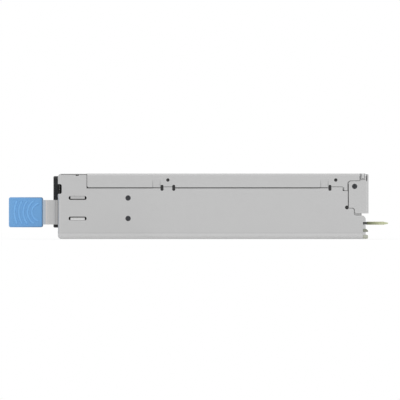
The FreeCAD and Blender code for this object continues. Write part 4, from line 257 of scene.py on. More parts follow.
def moulded_group():
    """Moulded plastic: fine spark-eroded texture with slow changes of shade."""
    tree, given, out = new_group("moulded plastic", {"Roughness": 0.45, "Spread": 0.05, "Texture": 1.0})
    vector = given.outputs["Vector"]
    cells = tree.nodes.new("ShaderNodeTexVoronoi")
    cells.inputs["Scale"].default_value = 3600.0
    tree.links.new(vector, cells.inputs["Vector"])
    pits = maths(tree, "SUBTRACT", cells.outputs["Distance"], 0.5)
    fine = noise(tree, vector, scale=7000.0, detail=1.0)
    slow = noise(tree, vector, scale=90.0, detail=3.0)
    texture = maths(tree, "ADD", maths(tree, "MULTIPLY", pits, 0.6), fine)
    texture = maths(tree, "MULTIPLY", texture, given.outputs["Texture"])
    shade = maths(tree, "ADD", slow, maths(tree, "MULTIPLY", texture, 0.4))
    shade = maths(tree, "MULTIPLY", shade, given.outputs["Spread"])
    tree.links.new(lightened(tree, given.outputs["Colour"], shade), out.inputs["Colour"])
    rough = maths(tree, "ADD", given.outputs["Roughness"], maths(tree, "MULTIPLY", slow, 0.2))
    rough = maths(tree, "ADD", rough, maths(tree, "MULTIPLY", texture, 0.1))
    tree.links.new(rough, out.inputs["Roughness"])
    tree.links.new(texture, out.inputs["Height"])
    return tree


def speckled_group():
    """Pressed or woven stock, such as ferrite and laminate: small light and dark grains."""
    tree, given, out = new_group("speckled stock", {"Roughness": 0.6, "Spread": 0.25, "Size": 1800.0})
    vector = given.outputs["Vector"]
    cells = tree.nodes.new("ShaderNodeTexVoronoi")
    tree.links.new(given.outputs["Size"], cells.inputs["Scale"])
    tree.links.new(vector, cells.inputs["Vector"])
    grains = tree.nodes.new("ShaderNodeRGBToBW")
    tree.links.new(cells.outputs["Color"], grains.inputs["Color"])
    grain = maths(tree, "SUBTRACT", grains.outputs["Val"], 0.5)
    slow = noise(tree, vector, scale=120.0, detail=3.0)
    shade = maths(tree, "MULTIPLY", maths(tree, "ADD", grain, slow), given.outputs["Spread"])
    tree.links.new(lightened(tree, given.outputs["Colour"], shade), out.inputs["Colour"])
    tree.links.new(maths(tree, "ADD", given.outputs["Roughness"], maths(tree, "MULTIPLY", slow, 0.25)),
                   out.inputs["Roughness"])
    tree.links.new(grain, out.inputs["Height"])
    return tree


GROUP_MAKERS = {
    "rolled sheet": rolled_sheet_group, "moulded plastic": moulded_group, "speckled stock": speckled_group,
}


def shared_group(name):
    return bpy.data.node_groups.get(name) or GROUP_MAKERS[name]()


# ---------------------------------------------------------------- masks, and what they change in a material
# Places in metres. A pair is the low and the high end, or where a change starts and where it is complete.
BEND_HIGHLIGHT_BAND = (0.0006, 0.0033)        # painted highlight band over the tray's lower bend, from its underside
BEND_SHADE_LINE = (0.0033, 0.0038)        # painted shade line over that band
NOTCH_FACE = (-0.001, 0.0008)       # painted shade inside the tray's corner notch, along X from the face
NOTCH_WIDTH = (0.002, 0.0062)       # along Y from the tray's near wall
NOTCH_HEIGHT = (0.0262, 0.0334)     # and in height
CAP_SLOT_X = (-0.0021, -0.0005)     # painted highlight in the slot at the end cap's top, along X from the cap's end
CAP_SLOT_Y = 0.0009                 # along Y, from here past the cap's near side to its far side
CAP_SLOT_Z = (-0.0048, 0.001)       # and in height from the cap's top
CREASE_REACH = 0.0007               # how far from a seam or edge its shade reaches
CREASE_RISE = (0.001, 0.003)        # heights between which that shade comes in
CREASE_POWER = 0.8
CREASE_SAMPLES = 12
SLEEVE_REFLECTION_SPAN = (0.0024, 0.0008)            # painted reflection of the blue sleeve on the strap, from the sleeve's end
STRAP_HIGHLIGHT_SPAN = (0.0019, 0.0026)         # painted highlight line on the strap, from the sleeve's end
STRAP_FOOT = (-0.0034, 0.0004)      # shade on the strap's feet, from the case's face
GUIDE_LIP = (0.0036, 0.003)         # heights between the guide's upper and lower lips
TONGUE_FADE = (0.001, 0.0085)      # tongue's edges go from a darker to a lighter colour, from the tray's end
TONGUE_DARK_END = (0.0006, 0.0013)      # where the board's dark edges inside the tray end, from the tray's end


def shifted(limits, start):
    """Limits measured from start, as places of the object."""
    return tuple(start + limit for limit in limits)


def along(tree, where, axis, start, end):
    """Nought at start and one at end, in metres along one axis of the object."""
    split = tree.nodes.new("ShaderNodeSeparateXYZ")
    tree.links.new(where.outputs["Object"], split.inputs["Vector"])
    scaled = tree.nodes.new("ShaderNodeMapRange")
    scaled.inputs["From Min"].default_value = start
    scaled.inputs["From Max"].default_value = end
    tree.links.new(split.outputs[axis], scaled.inputs["Value"])
    return scaled.outputs["Result"]


def within(tree, where, limits, soft=120 * MICRON):
    """One inside a block given as {axis: (low, high)} in metres, nought outside it, with soft sides."""
    inside = None
    for axis, (low, high) in limits.items():
        rise = along(tree, where, axis, low - soft, low + soft)
        fall = along(tree, where, axis, high + soft, high - soft)
        both = maths(tree, "MULTIPLY", rise, fall)
        inside = both if inside is None else maths(tree, "MULTIPLY", inside, both)
    return inside


def blend(tree, factor, first, second):
    """Colour that goes from first at nought to second at one, each a socket or a fixed colour."""
    both = tree.nodes.new("ShaderNodeMix")
    both.data_type = "RGBA"
    tree.links.new(factor, both.inputs["Factor"])
    for place, value in (("A", first), ("B", second)):
        if isinstance(value, bpy.types.NodeSocket):
            tree.links.new(value, both.inputs[place])
        else:
            both.inputs[place].default_value = tuple(value)
    return both.outputs["Result"]


def shaded(made, mask, amount):
    """Multiplies the material's colour by one plus amount where the mask is one."""
    tree = made.node_tree
    base = tree.nodes["Principled BSDF"].inputs["Base Color"]
    shade = maths(tree, "MULTIPLY", mask, amount)
    tree.links.new(lightened(tree, base.links[0].from_socket, shade), base)


def mixed(made, mask, second):
    """Lays a second colour over the material's own where the mask is one."""
    tree = made.node_tree
    base = tree.nodes["Principled BSDF"].inputs["Base Color"]
    tree.links.new(blend(tree, mask, base.links[0].from_socket, second), base)


def painted_crease_shade(made, reach, depth, bare):
    """Paints shade into seams and punched edges, where ambient occlusion finds them, except low down and in a
    bare place.
    """
    tree = made.node_tree
    where = tree.nodes["Texture Coordinate"]
    corners = tree.nodes.new("ShaderNodeAmbientOcclusion")
    corners.inputs["Distance"].default_value = reach
    corners.samples = CREASE_SAMPLES
    closed = maths(tree, "POWER", maths(tree, "SUBTRACT", 1.0, corners.outputs["AO"]), CREASE_POWER)
    risen = along(tree, where, "Z", *CREASE_RISE)
    clear = maths(tree, "MULTIPLY", risen, maths(tree, "SUBTRACT", 1.0, bare))
    shaded(made, maths(tree, "MULTIPLY", closed, clear), amount=-depth)
    return made


# ---------------------------------------------------------------- finishes
def new_finish(name, group, base, bump, metallic=0.0, coat=0.0, **values):
    """Material whose colour, roughness and height come from one shared group."""
    made = bpy.data.materials.new(name)
    made.use_nodes = True
    tree = made.node_tree
    shader = tree.nodes["Principled BSDF"]
    shader.inputs["Metallic"].default_value = metallic
    shader.inputs["Coat Weight"].default_value = coat
    shader.inputs["Coat Roughness"].default_value = 0.2
    where = tree.nodes.new("ShaderNodeTexCoord")
    effect = tree.nodes.new("ShaderNodeGroup")
    effect.node_tree = shared_group(group)
    effect.inputs["Colour"].default_value = base
    for label, value in values.items():
        effect.inputs[label].default_value = value
    relief = tree.nodes.new("ShaderNodeBump")
    relief.inputs["Distance"].default_value = bump
    relief.inputs["Strength"].default_value = 0.6
    tree.links.new(where.outputs["Object"], effect.inputs["Vector"])
    tree.links.new(effect.outputs["Colour"], shader.inputs["Base Color"])
    tree.links.new(effect.outputs["Roughness"], shader.inputs["Roughness"])
    tree.links.new(effect.outputs["Height"], relief.inputs["Height"])
    tree.links.new(relief.outputs["Normal"], shader.inputs["Normal"])
    return made


def case_steel(c):
    """Plated sheet with painted light and shade: a highlight band and a shade line over its lower bend, shade
    in its corner notch, a highlight in the end cap's slot, and shade in its seams and punched edges.
    """
    made = new_finish("case steel", "rolled sheet", c.case, bump=12 * MICRON, metallic=0.85,
                      Roughness=0.42, Spread=0.06, Lines=0.5)
    tree = made.node_tree
    where = tree.nodes["Texture Coordinate"]
    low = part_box("tray")[0]
    # Painted highlight band over the lower bend, with a painted shade line along its top.
    bend_highlight = within(tree, where, {"Z": shifted(BEND_HIGHLIGHT_BAND, low.z)})
    line = within(tree, where, {"Z": shifted(BEND_SHADE_LINE, low.z)})
    shaded(made, maths(tree, "SUBTRACT", bend_highlight, line), amount=0.07)
    # Painted shade inside the corner notch, nearly black.
    notch = {"X": shifted(NOTCH_FACE, low.x), "Y": shifted(NOTCH_WIDTH, low.y), "Z": NOTCH_HEIGHT}
    shaded(made, within(tree, where, notch), amount=-0.97)
    # Painted highlight in the end cap's slot, which the painted crease shade also leaves out.
    cap_low, cap_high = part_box("end_cap")
    opening = {"X": shifted(CAP_SLOT_X, cap_high.x), "Y": (cap_low.y + CAP_SLOT_Y, cap_high.y),
               "Z": shifted(CAP_SLOT_Z, cap_high.z)}
    slot = within(tree, where, opening)
    shaded(made, slot, amount=0.5)
    return painted_crease_shade(made, reach=CREASE_REACH, depth=0.85, bare=slot)


def strap_steel(c):
    """Satin strap with a painted reflection of the sleeve beside it, a painted highlight line, and painted
    shade on its feet by the case's face.
    """
    made = new_finish("strap steel", "rolled sheet", c.strap, bump=10 * MICRON, metallic=0.9,
                      Roughness=0.32, Spread=0.08, Lines=0.9)
    tree = made.node_tree
    where = tree.nodes["Texture Coordinate"]
    sleeve_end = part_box("handle_grip")[1].x
    # Painted reflection of the sleeve on the strap next to it.
    mixed(made, along(tree, where, "X", *shifted(SLEEVE_REFLECTION_SPAN, sleeve_end)), c.strap_reflection)
    # Painted highlight line on the strap.
    mixed(made, within(tree, where, {"X": shifted(STRAP_HIGHLIGHT_SPAN, sleeve_end)}), c.strap_highlight)
    # Painted shade on the strap's feet, deepening towards the case's face.
    by_face = along(tree, where, "X", *shifted(STRAP_FOOT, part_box("tray")[0].x))
    shaded(made, maths(tree, "POWER", by_face, 1.5), amount=-0.42)
    return made


def small_steel(c):
    return new_finish("small steel", "rolled sheet", c.small, bump=6 * MICRON, metallic=0.95,
                      Roughness=0.3, Spread=0.1, Lines=0.2)


def dark_screws(c):
    return new_finish("dark screws", "rolled sheet", c.dark, bump=6 * MICRON, metallic=0.9,
                      Roughness=0.4, Spread=0.2, Lines=0.1)


def release_tab(c):
    return new_finish("release tab", "moulded plastic", c.tab, bump=20 * MICRON, Roughness=0.5, Spread=0.06)


def black_plastic(c):
    return new_finish("black plastic", "moulded plastic", c.black, bump=20 * MICRON,
                      Roughness=0.48, Spread=0.25)


def plated_brass(c):
    return new_finish("plated brass", "rolled sheet", c.brass, bump=4 * MICRON, metallic=1.0,
                      Roughness=0.22, Spread=0.08, Lines=0.5)


def contact_gold(c):
    return new_finish("contact gold", "rolled sheet", c.gold, bump=3 * MICRON, metallic=1.0,
                      Roughness=0.25, Spread=0.06, Lines=0.6)


def bare_copper(c):
    return new_finish("bare copper", "rolled sheet", c.copper, bump=8 * MICRON, metallic=0.9,
                      Roughness=0.3, Spread=0.16, Lines=0.5)


def ferrite(c):
    return new_finish("ferrite", "speckled stock", c.ferrite, bump=10 * MICRON,
                      Roughness=0.55, Spread=0.3, Size=2200.0)


def guide_plastic(c):
    made = new_finish("guide plastic", "moulded plastic", c.guide, bump=10 * MICRON,
                      Roughness=0.5, Spread=0.08)
    tree = made.node_tree
    # The lower lip gets a lighter colour than the upper one.
    mixed(made, along(tree, tree.nodes["Texture Coordinate"], "Z", *GUIDE_LIP), c.guide_low)
    return made


def insulating_film(c):
    return new_finish("insulating film", "moulded plastic", c.film, bump=4 * MICRON, coat=0.3,
                      Roughness=0.35, Spread=0.04)


def aluminium(c):
    return new_finish("aluminium", "rolled sheet", c.aluminium, bump=10 * MICRON, metallic=1.0,
                      Roughness=0.34, Spread=0.07, Lines=1.0)


def yellow_plastic(c):
    return new_finish("yellow plastic", "moulded plastic", c.yellow, bump=10 * MICRON, coat=0.2,
                      Roughness=0.4, Spread=0.06)


def dipped_disc(c):
    return new_finish("dipped disc", "moulded plastic", c.disc, bump=20 * MICRON, coat=0.4,
                      Roughness=0.35, Spread=0.12)


def can_sleeve(c):
    return new_finish("can sleeve", "moulded plastic", c.sleeve, bump=6 * MICRON, coat=0.3,
                      Roughness=0.35, Spread=0.15)


def white_plastic(c):
    return new_finish("white plastic", "moulded plastic", c.white, bump=12 * MICRON,
                      Roughness=0.45, Spread=0.05)


def lead_rubber(c):
    return new_finish("lead insulation", "moulded plastic", c.lead, bump=10 * MICRON,
                      Roughness=0.5, Spread=0.2)


def light_pipe(c):
    made = new_finish("light pipe", "moulded plastic", c.clear, bump=2 * MICRON,
                      Roughness=0.12, Spread=0.03, Texture=0.2)
    shader = made.node_tree.nodes["Principled BSDF"]
    shader.inputs["Transmission Weight"].default_value = 0.8
    shader.inputs["IOR"].default_value = 1.58
    return made


def coated_board(c):
    """Coated laminate: solder mask on the flat faces and bare glass cloth at the edges."""
    made = new_finish("coated board", "speckled stock", c.board, bump=12 * MICRON, coat=0.3,
                      Roughness=0.4, Spread=0.2, Size=900.0)
    tree = made.node_tree
    where = tree.nodes["Texture Coordinate"]
    split = tree.nodes.new("ShaderNodeSeparateXYZ")
    tree.links.new(where.outputs["Normal"], split.inputs["Vector"])
    flat = maths(tree, "GREATER_THAN", maths(tree, "ABSOLUTE", split.outputs["Z"], 0.0), 0.5)
    edge = maths(tree, "SUBTRACT", 1.0, flat)
    layers = tree.nodes.new("ShaderNodeTexWave")
    layers.bands_direction = "Z"
    layers.inputs["Scale"].default_value = 1600.0
    layers.inputs["Distortion"].default_value = 0.6
    tree.links.new(where.outputs["Object"], layers.inputs["Vector"])
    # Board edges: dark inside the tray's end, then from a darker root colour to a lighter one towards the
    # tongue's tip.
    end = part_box("tray")[1].x
    root_to_tip = along(tree, where, "X", *shifted(TONGUE_FADE, end))
    bare = along(tree, where, "X", *shifted(TONGUE_DARK_END, end))
    side = blend(tree, bare, c.board_dark, blend(tree, root_to_tip, c.board_root_tone, c.board_edge))
    mixed(made, edge, side)
    shaded(made, maths(tree, "MULTIPLY", layers.outputs["Fac"], edge), amount=-0.12)
    return made


def grip_plastic(c):
    """Soft-touch plastic with painted shade between its ridges and on its rims at the open end and underside,
    as the mesh's attributes say.
    """
    made = new_finish("grip plastic", "moulded plastic", c.grip, bump=25 * MICRON,
                      Roughness=0.52, Spread=0.06)
    tree = made.node_tree
    # Both attributes lay painted shade: between the ridges and on the rims.
    for layer, second in (("valley", c.grip_valley_shade), ("rim", c.grip_rim_shade)):
        toned = tree.nodes.new("ShaderNodeAttribute")
        toned.attribute_name = layer
        mixed(made, toned.outputs["Fac"], second)
    return made


FINISH_MAKERS = {
    "case_steel": case_steel, "strap_steel": strap_steel, "small_steel": small_steel,
    "dark_screws": dark_screws, "release_tab": release_tab, "black_plastic": black_plastic,
    "nickel_brass": plated_brass, "gold": contact_gold, "copper": bare_copper, "ferrite": ferrite,
    "guide_plastic": guide_plastic, "film": insulating_film, "aluminium": aluminium,
    "yellow_plastic": yellow_plastic, "blue_disc": dipped_disc, "can_sleeve": can_sleeve,
    "white_plastic": white_plastic, "lead_rubber": lead_rubber, "clear_plastic": light_pipe,
    "board_dark": coated_board, "board_green": coated_board, "blue_plastic": grip_plastic,
}
MADE_FINISHES = {}


def finish(name):
    if name not in MADE_FINISHES:
        MADE_FINISHES[name] = FINISH_MAKERS[name](settings()[1])
    return MADE_FINISHES[name]


# ---------------------------------------------------------------- mesh helpers
def add_piece(name, shape, material, body, replaced, angle=35.0, second=None):
    """Finished piece at the origin, smooth up to an angle in degrees, riding on its body."""
    bmesh.ops.recalc_face_normals(shape, faces=shape.faces)
    mesh = bpy.data.meshes.new(name)
    shape.to_mesh(mesh)
    shape.free()
    mesh.shade_smooth()
    mesh.set_sharp_from_angle(angle=math.radians(angle))
    mesh.materials.append(material)
    if second:
        mesh.materials.append(second)
    made = bpy.data.objects.new(name, mesh)
    bpy.context.scene.collection.objects.link(made)
    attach(made, body)
    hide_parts(*replaced)
    return made


def edges_between(shape, test):
    """Edges whose two ends pass the test."""
    return [edge for edge in shape.edges if test(edge.verts[0].co, edge.verts[1].co)]


def rounded(shape, edges, offset, segments):
    bmesh.ops.bevel(shape, geom=edges, offset=offset, offset_type="OFFSET", segments=segments, profile=0.5,
                    affect="EDGES", material=-1, clamp_overlap=True)


def moved_verts(geom):
    return [item for item in geom if isinstance(item, bmesh.types.BMVert)]


def circle(radius, count):
    turns = [2 * math.pi * i / count for i in range(count)]
    return [(math.cos(turn) * radius, math.sin(turn) * radius) for turn in turns]


def fill(shape, edges):
    bmesh.ops.triangle_fill(shape, use_beauty=True, use_dissolve=False, edges=edges)


def held(value):
    """Value, kept between nought and one."""
    return max(0.0, min(1.0, value))


# ---------------------------------------------------------------- grip
CORNER_STEPS = 8
EDGE_STEPS = 5
RIDGE_POINTS = 7            # points on the dome of a ridge's section
RIDGE_STEPS = 28            # steps of the sweep along a ridge
RIDGE_REACH = math.radians(74)      # half the longest arch
RIM_SHADE_ROUND = 0.5            # share of a rim's rounding over which its painted shade comes in
RIM_SHADE_UNDER = 1.01           # height of the shaded band over the underside, as a share of that rounding
RIM_SHADE_BEHIND = 1.5           # where the shaded underside begins, in corner radii behind the front


def near(first, second):
    return abs(first - second) < SAME_PLACE


def grip_shell(shape, low, high, sizes):
    """U-shaped sleeve: two cheeks joined by a rounded front."""
    wall = sizes.grip_wall
    y0, y1 = low.y + sizes.ridge_height, high.y - sizes.ridge_height
    path = [(low.x, y0), (high.x, y0), (high.x, y0 + wall), (low.x + wall, y0 + wall),
            (low.x + wall, y1 - wall), (high.x, y1 - wall), (high.x, y1), (low.x, y1)]
    base = shape.faces.new([shape.verts.new((x, y, low.z)) for x, y in path])
    grown = bmesh.ops.extrude_face_region(shape, geom=[base])["geom"]
    bmesh.ops.translate(shape, verts=moved_verts(grown), vec=(0, 0, high.z - low.z))

    def upright(a, b):
        return near(a.x, b.x) and near(a.y, b.y) and not near(a.z, b.z)

    fronts = edges_between(shape, lambda a, b: upright(a, b) and near(a.x, low.x))
    rounded(shape, fronts, sizes.grip_corner, CORNER_STEPS)
    inner = edges_between(shape, lambda a, b: upright(a, b) and near(a.x, low.x + wall))
    rounded(shape, inner, sizes.grip_corner / 2, EDGE_STEPS)

    def in_mouth(point):
        inside_cheeks = y0 + wall - SAME_PLACE < point.y < y1 - wall + SAME_PLACE
        return inside_cheeks and point.x > low.x + wall - SAME_PLACE

    def rim(a, b):
        level = near(a.z, b.z)
        outside = a.y < y0 + SAME_PLACE or a.y > y1 - SAME_PLACE
        at_end = min(a.x, b.x) > high.x - SAME_PLACE
        return (level and not (in_mouth(a) and in_mouth(b))) or (at_end and upright(a, b) and outside)

    rounded(shape, edges_between(shape, rim), sizes.grip_edge, EDGE_STEPS)


def grip_ridge(shape, centre, radius, half_angle, outward, sizes):
    """One arched bead: a low dome swept about the cheek's axis."""
    half, sink = sizes.ridge_width / 2, sizes.ridge_sink
    turns = [math.pi * i / (RIDGE_POINTS - 1) for i in range(RIDGE_POINTS)]
    ring = [(radius - math.cos(turn) * half, math.sin(turn) * sizes.ridge_height) for turn in turns]
    ring += [(radius + half, -sink), (radius - half, -sink)]
    start = Matrix.Rotation(-half_angle, 4, "Y")
    verts = [shape.verts.new(centre + start @ Vector((-r, outward * h, 0))) for r, h in ring]
    bmesh.ops.spin(shape, geom=[shape.faces.new(verts)], cent=centre, axis=(0, 1, 0), dvec=(0, 0, 0),
                   angle=2 * half_angle, steps=RIDGE_STEPS, use_duplicate=False)


def grip_ridges(shape, low, high, sizes):
    middle = (low.z + high.z) / 2
    field = (high.z - low.z) / 2 - 2 * sizes.grip_edge
    for outward, y in ((-1, low.y + sizes.ridge_height), (1, high.y - sizes.ridge_height)):
        for i in range(sizes.ridge_count):
            radius = sizes.ridge_first + i * sizes.ridge_pitch
            reach = min(RIDGE_REACH, math.asin(min(1.0, field / radius)))
            centre = Vector((high.x - sizes.ridge_inset, y, middle))
            grip_ridge(shape, centre, radius, reach, outward, sizes)


def paint_grip_shade(mesh, low, high, sizes):
    """Writes painted shade for each corner: how far it lies below the ridges' tops, and how far it is round a
    rim at the open end or underside.
    """
    valley = mesh.attributes.new("valley", "FLOAT", "POINT")
    rim = mesh.attributes.new("rim", "FLOAT", "POINT")
    edge = sizes.grip_edge
    rim_start = high.x - edge - 10 * MICRON
    underside = low.z + RIM_SHADE_UNDER * edge
    behind_corner = low.x + RIM_SHADE_BEHIND * sizes.grip_corner
    for vertex, low_place, round_place in zip(mesh.vertices, valley.data, rim.data):
        x, y, z = vertex.co
        depth = min(y - low.y, high.y - y)
        low_place.value = held(depth / sizes.ridge_height)
        # Rims at the open end, and the underside behind the front corner, take painted shade.
        handled = x > rim_start or (x > behind_corner and z < underside)
        turned = held((depth - sizes.ridge_height) / (RIM_SHADE_ROUND * edge))
        round_place.value = turned if handled else 0.0


class SUPPLY_OT_grip(bpy.types.Operator):
    """Model the moulded sleeve on the handle, with its arched ridges"""
    bl_idname = "supply.grip"
    bl_label = "Grip"

    def execute(self, context):
        sizes = context.scene.supply_sizes
        low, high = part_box("handle_grip")
        shape = bmesh.new()
        grip_shell(shape, low, high, sizes)
        grip_ridges(shape, low, high, sizes)
        made = add_piece("grip_sleeve", shape, finish("blue_plastic"), "case", ["handle_grip"],
                         angle=40)
        paint_grip_shade(made.data, low, high, sizes)
        return {"FINISHED"}


# ---------------------------------------------------------------- screws
HEAD_POINTS = 40
DRIVE_TAPER = 0.72          # recess's floor, as a share of its mouth
FIRST_TURN = 0.4            # turn of a wall screw's recess, in radians
TURN_PER_METRE = 40         # and how fast it changes with the screw's height


def cross_outline(reach, arm):
    quarter = [(arm, arm), (arm, reach), (-arm, reach)]
    points = []
    for cosine, sine in ((1, 0), (0, 1), (-1, 0), (0, -1)):
        points += [(cosine * x - sine * y, sine * x + cosine * y) for x, y in quarter]
    return points


def loop_of(shape, points, z):
    """Closed loop of edges through the points."""
    verts = [shape.verts.new((x, y, z)) for x, y in points]
    return [shape.edges.new((verts[i - 1], verts[i])) for i in range(len(verts))]


def drop_loop(shape, edges, depth, scale=1.0):
    """Draws a wall down from a loop, and returns the new loop's edges."""
    grown = bmesh.ops.extrude_edge_only(shape, edges=edges)["geom"]
    verts = moved_verts(grown)
    bmesh.ops.scale(shape, vec=(scale, scale, 1), verts=verts)
    bmesh.ops.translate(shape, vec=(0, 0, -depth), verts=verts)
    return [g for g in grown if isinstance(g, bmesh.types.BMEdge) and all(v in verts for v in g.verts)]


def sunk_cross(shape, rim, level, reach, arm, depth, taper):
    """Flat top inside a rim of edges, with a cross sunk into it."""
    mouth = loop_of(shape, cross_outline(reach, arm), level)
    fill(shape, rim + mouth)
    fill(shape, drop_loop(shape, mouth, depth, taper))


def screw(sizes, head_radius, head_depth, shank_radius, length_under, dome=0.0):
    """Screw along -Z from its head's top at the origin, with a tapered cross recess."""
    shape = bmesh.new()
    side = loop_of(shape, circle(head_radius, HEAD_POINTS), 0)
    sunk_cross(shape, side, 0, sizes.drive_reach, sizes.drive_arm, sizes.drive_depth, DRIVE_TAPER)
    if dome:
        side = drop_loop(shape, side, dome, 1.0 + dome / head_radius)
        side = drop_loop(shape, side, head_depth - dome)
        side = drop_loop(shape, side, 0.0, shank_radius / (head_radius + dome))
    else:
        side = drop_loop(shape, side, head_depth, shank_radius / head_radius)
    fill(shape, drop_loop(shape, side, length_under))
    return shape


def joined(shapes):
    """One bmesh from several, each with the matrix that places it."""
    whole = bmesh.new()
    for shape, place in shapes:
        shape.transform(place)
        part = bpy.data.meshes.new("part")
        shape.to_mesh(part)
        shape.free()
        whole.from_mesh(part)
        bpy.data.meshes.remove(part)
    return whole


def islands(node):
    """Lowest and highest corners of a CAD node's separate solids, in a fixed order."""
    copy = bmesh.new()
    copy.from_mesh(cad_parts[node].data)
    bmesh.ops.remove_doubles(copy, verts=copy.verts, dist=SAME_PLACE)
    left = set(copy.verts)
    found = []
    while left:
        heap = [left.pop()]
        points = []
        while heap:
            vert = heap.pop()
            points.append(vert.co.copy())
            for edge in vert.link_edges:
                other = edge.other_vert(vert)
                if other in left:
                    left.remove(other)
                    heap.append(other)
        found.append((Vector([min(p[k] for p in points) for k in range(3)]),
                      Vector([max(p[k] for p in points) for k in range(3)])))
    copy.free()
    return sorted(found, key=lambda pair: tuple(pair[0]))


def wall_screw(sizes, low, high):
    """Flat screw along Y between two corners, its head to the outside, and its place."""
    middle = (low + high) / 2
    under = high.y - low.y - sizes.wall_head - sizes.shank_short
    shape = screw(sizes, (high.z - low.z) / 2, sizes.wall_head, sizes.wall_shank, under)
    top, lean = (low.y, math.pi / 2) if middle.y < 0 else (high.y, -math.pi / 2)
    own_turn = Matrix.Rotation(FIRST_TURN + middle.z * TURN_PER_METRE, 4, "Z")
    return shape, Matrix.Translation((middle.x, top, middle.z)) @ Matrix.Rotation(lean, 4, "X") @ own_turn


def board_screw(sizes, low, high):
    """Upright pan head screw between two corners, and its place."""
    middle = (low + high) / 2
    dome = sizes.board_dome
    under = high.z - low.z - sizes.board_head - sizes.shank_short
    shape = screw(sizes, (high.x - low.x) / 2 - dome, sizes.board_head, sizes.board_shank, under, dome)
    return shape, Matrix.Translation((middle.x, middle.y, high.z))


class SUPPLY_OT_screws(bpy.types.Operator):
    """Model the flat screws of the walls and the pan heads on the board"""
    bl_idname = "supply.screws"
    bl_label = "Screws"

    def execute(self, context):
        sizes = context.scene.supply_sizes
        for node, name in (("wall_screws", "wall_screw_set"), ("end_cap_screws", "cap_screw_set")):
            placed = [wall_screw(sizes, low, high) for low, high in islands(node)]
            add_piece(name, joined(placed), finish("dark_screws"), "case", [node])
        placed = [board_screw(sizes, low, high) for low, high in islands("board_screws")]
        add_piece("board_screw_set", joined(placed), finish("small_steel"), "case", ["board_screws"])
        return {"FINISHED"}


# ---------------------------------------------------------------- capacitors
CAN_POINTS = 36
SCORE_REACH = 0.8           # scored lines, as a share of the bare top
SCORE_TAPER = 0.97
CRIMP_RISE = 0.3            # slopes beside the crimped rim's crest, as a share of the rim
CRIMP_DROP = 0.35           # rim's outer shoulder, as a share of the rim
CAN_TURN = 300              # a standing can's own turn, in radians for each metre along Y
SLEEVE, BARE = 0, 1         # material slots


def can(radius, height, sizes):
    """Capacitor along -Z from its top at the origin: scored bare top, crimped rim and grooved sleeve."""
    shape = bmesh.new()
    reach, level = radius - sizes.can_rim, -sizes.can_sink
    edges = loop_of(shape, circle(reach, CAN_POINTS), level)
    score = sizes.can_score
    sunk_cross(shape, edges, level, reach * SCORE_REACH, score, score, SCORE_TAPER)
    for face in shape.faces:
        face.material_index = BARE
    crimp = sizes.can_rim * CRIMP_RISE
    shoulder = sizes.can_rim * CRIMP_DROP
    depth = sizes.can_groove_depth
    groove = sizes.can_groove - height
    steps = [
        (reach + crimp, 0.0, BARE), (radius - crimp, 0.0, BARE), (radius, -shoulder, SLEEVE),
        (radius, groove + 2 * depth, SLEEVE), (radius - depth, groove + depth, SLEEVE),
        (radius - depth, groove, SLEEVE), (radius, groove - depth, SLEEVE),
        (radius, depth - height, SLEEVE), (radius - depth, -height, SLEEVE),
    ]
    for next_reach, next_level, slot in steps:
        before = set(shape.faces)
        edges = drop_loop(shape, edges, level - next_level, next_reach / reach)
        for face in set(shape.faces) - before:
            face.material_index = slot
        reach, level = next_reach, next_level
    fill(shape, edges)
    return shape


def standing_can(sizes, low, high):
    """Can on its base between two corners, and its place."""
    middle = (low + high) / 2
    own_turn = Matrix.Rotation(middle.y * CAN_TURN, 4, "Z")
    shape = can((high.x - low.x) / 2, high.z - low.z, sizes)
    return shape, Matrix.Translation((middle.x, middle.y, high.z)) @ own_turn


def lying_can(sizes, low, high):
    """Can along X between two corners, its top to the connector end, and its place."""
    middle = (low + high) / 2
    shape = can((high.y - low.y) / 2, high.x - low.x, sizes)
    return shape, Matrix.Translation((high.x, middle.y, middle.z)) @ Matrix.Rotation(math.pi / 2, 4, "Y")


class SUPPLY_OT_capacitors(bpy.types.Operator):
    """Model the capacitors, with scored tops, crimped rims and shrunk sleeves"""
    bl_idname = "supply.capacitors"
    bl_label = "Capacitors"

    def execute(self, context):
        sizes = context.scene.supply_sizes
        for name, maker, node in (("output_can_set", standing_can, "output_capacitors"),
                                  ("bulk_can_set", lying_can, "bulk_capacitors")):
            placed = [maker(sizes, low, high) for low, high in islands(node)]
            add_piece(name, joined(placed), finish("can_sleeve"), "case", [node],
                      second=finish("aluminium"))
        return {"FINISHED"}


# ---------------------------------------------------------------- finishes for the carried-over nodes
NODE_FINISHES = {"latch_tab": "release_tab"}        # nodes whose finish isn't their slot's


class SUPPLY_OT_finishes(bpy.types.Operator):
    """Give every carried-over node its finish"""
    bl_idname = "supply.finishes"
    bl_label = "Finishes"

    def execute(self, context):
        for name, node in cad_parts.items():
            if node.hide_render:
                continue
            for place in node.material_slots:
                slot = place.material.name.split(".")[0] if place.material else "small_steel"
                wanted = NODE_FINISHES.get(name, slot)
                place.material = finish(wanted if wanted in FINISH_MAKERS else "small_steel")
        return {"FINISHED"}


# ---------------------------------------------------------------- stage
FLOOR_GAP = 0.0002          # floor under the object's underside
FLOOR_GLOW = 0.75           # share of the floor that shines by itself, as the camera sees it
SENSOR = 36.0               # width of the camera's sensor, in millimetres
LAMPS = (                   # name, place and side in metres, and the setting of its power
    ("key", (-0.7, -1.1, 1.1), 1.1, "key_light"),
    ("fill", (1.2, -0.6, 0.6), 0.9, "fill_light"),
    ("rear", (0.3, 1.2, 1.0), 0.9, "fill_light"),
)


def lamp(name, place, aim, side, energy):
    """Square soft lamp at a place, turned to what it lights."""
    light = bpy.data.lights.new(name, "AREA")
    light.shape = "SQUARE"
    light.size = side
    light.energy = energy
    made = bpy.data.objects.new(name, light)
    made.location = place
    made.rotation_euler = (aim - Vector(place)).to_track_quat("-Z", "Y").to_euler()
    bpy.context.scene.collection.objects.link(made)


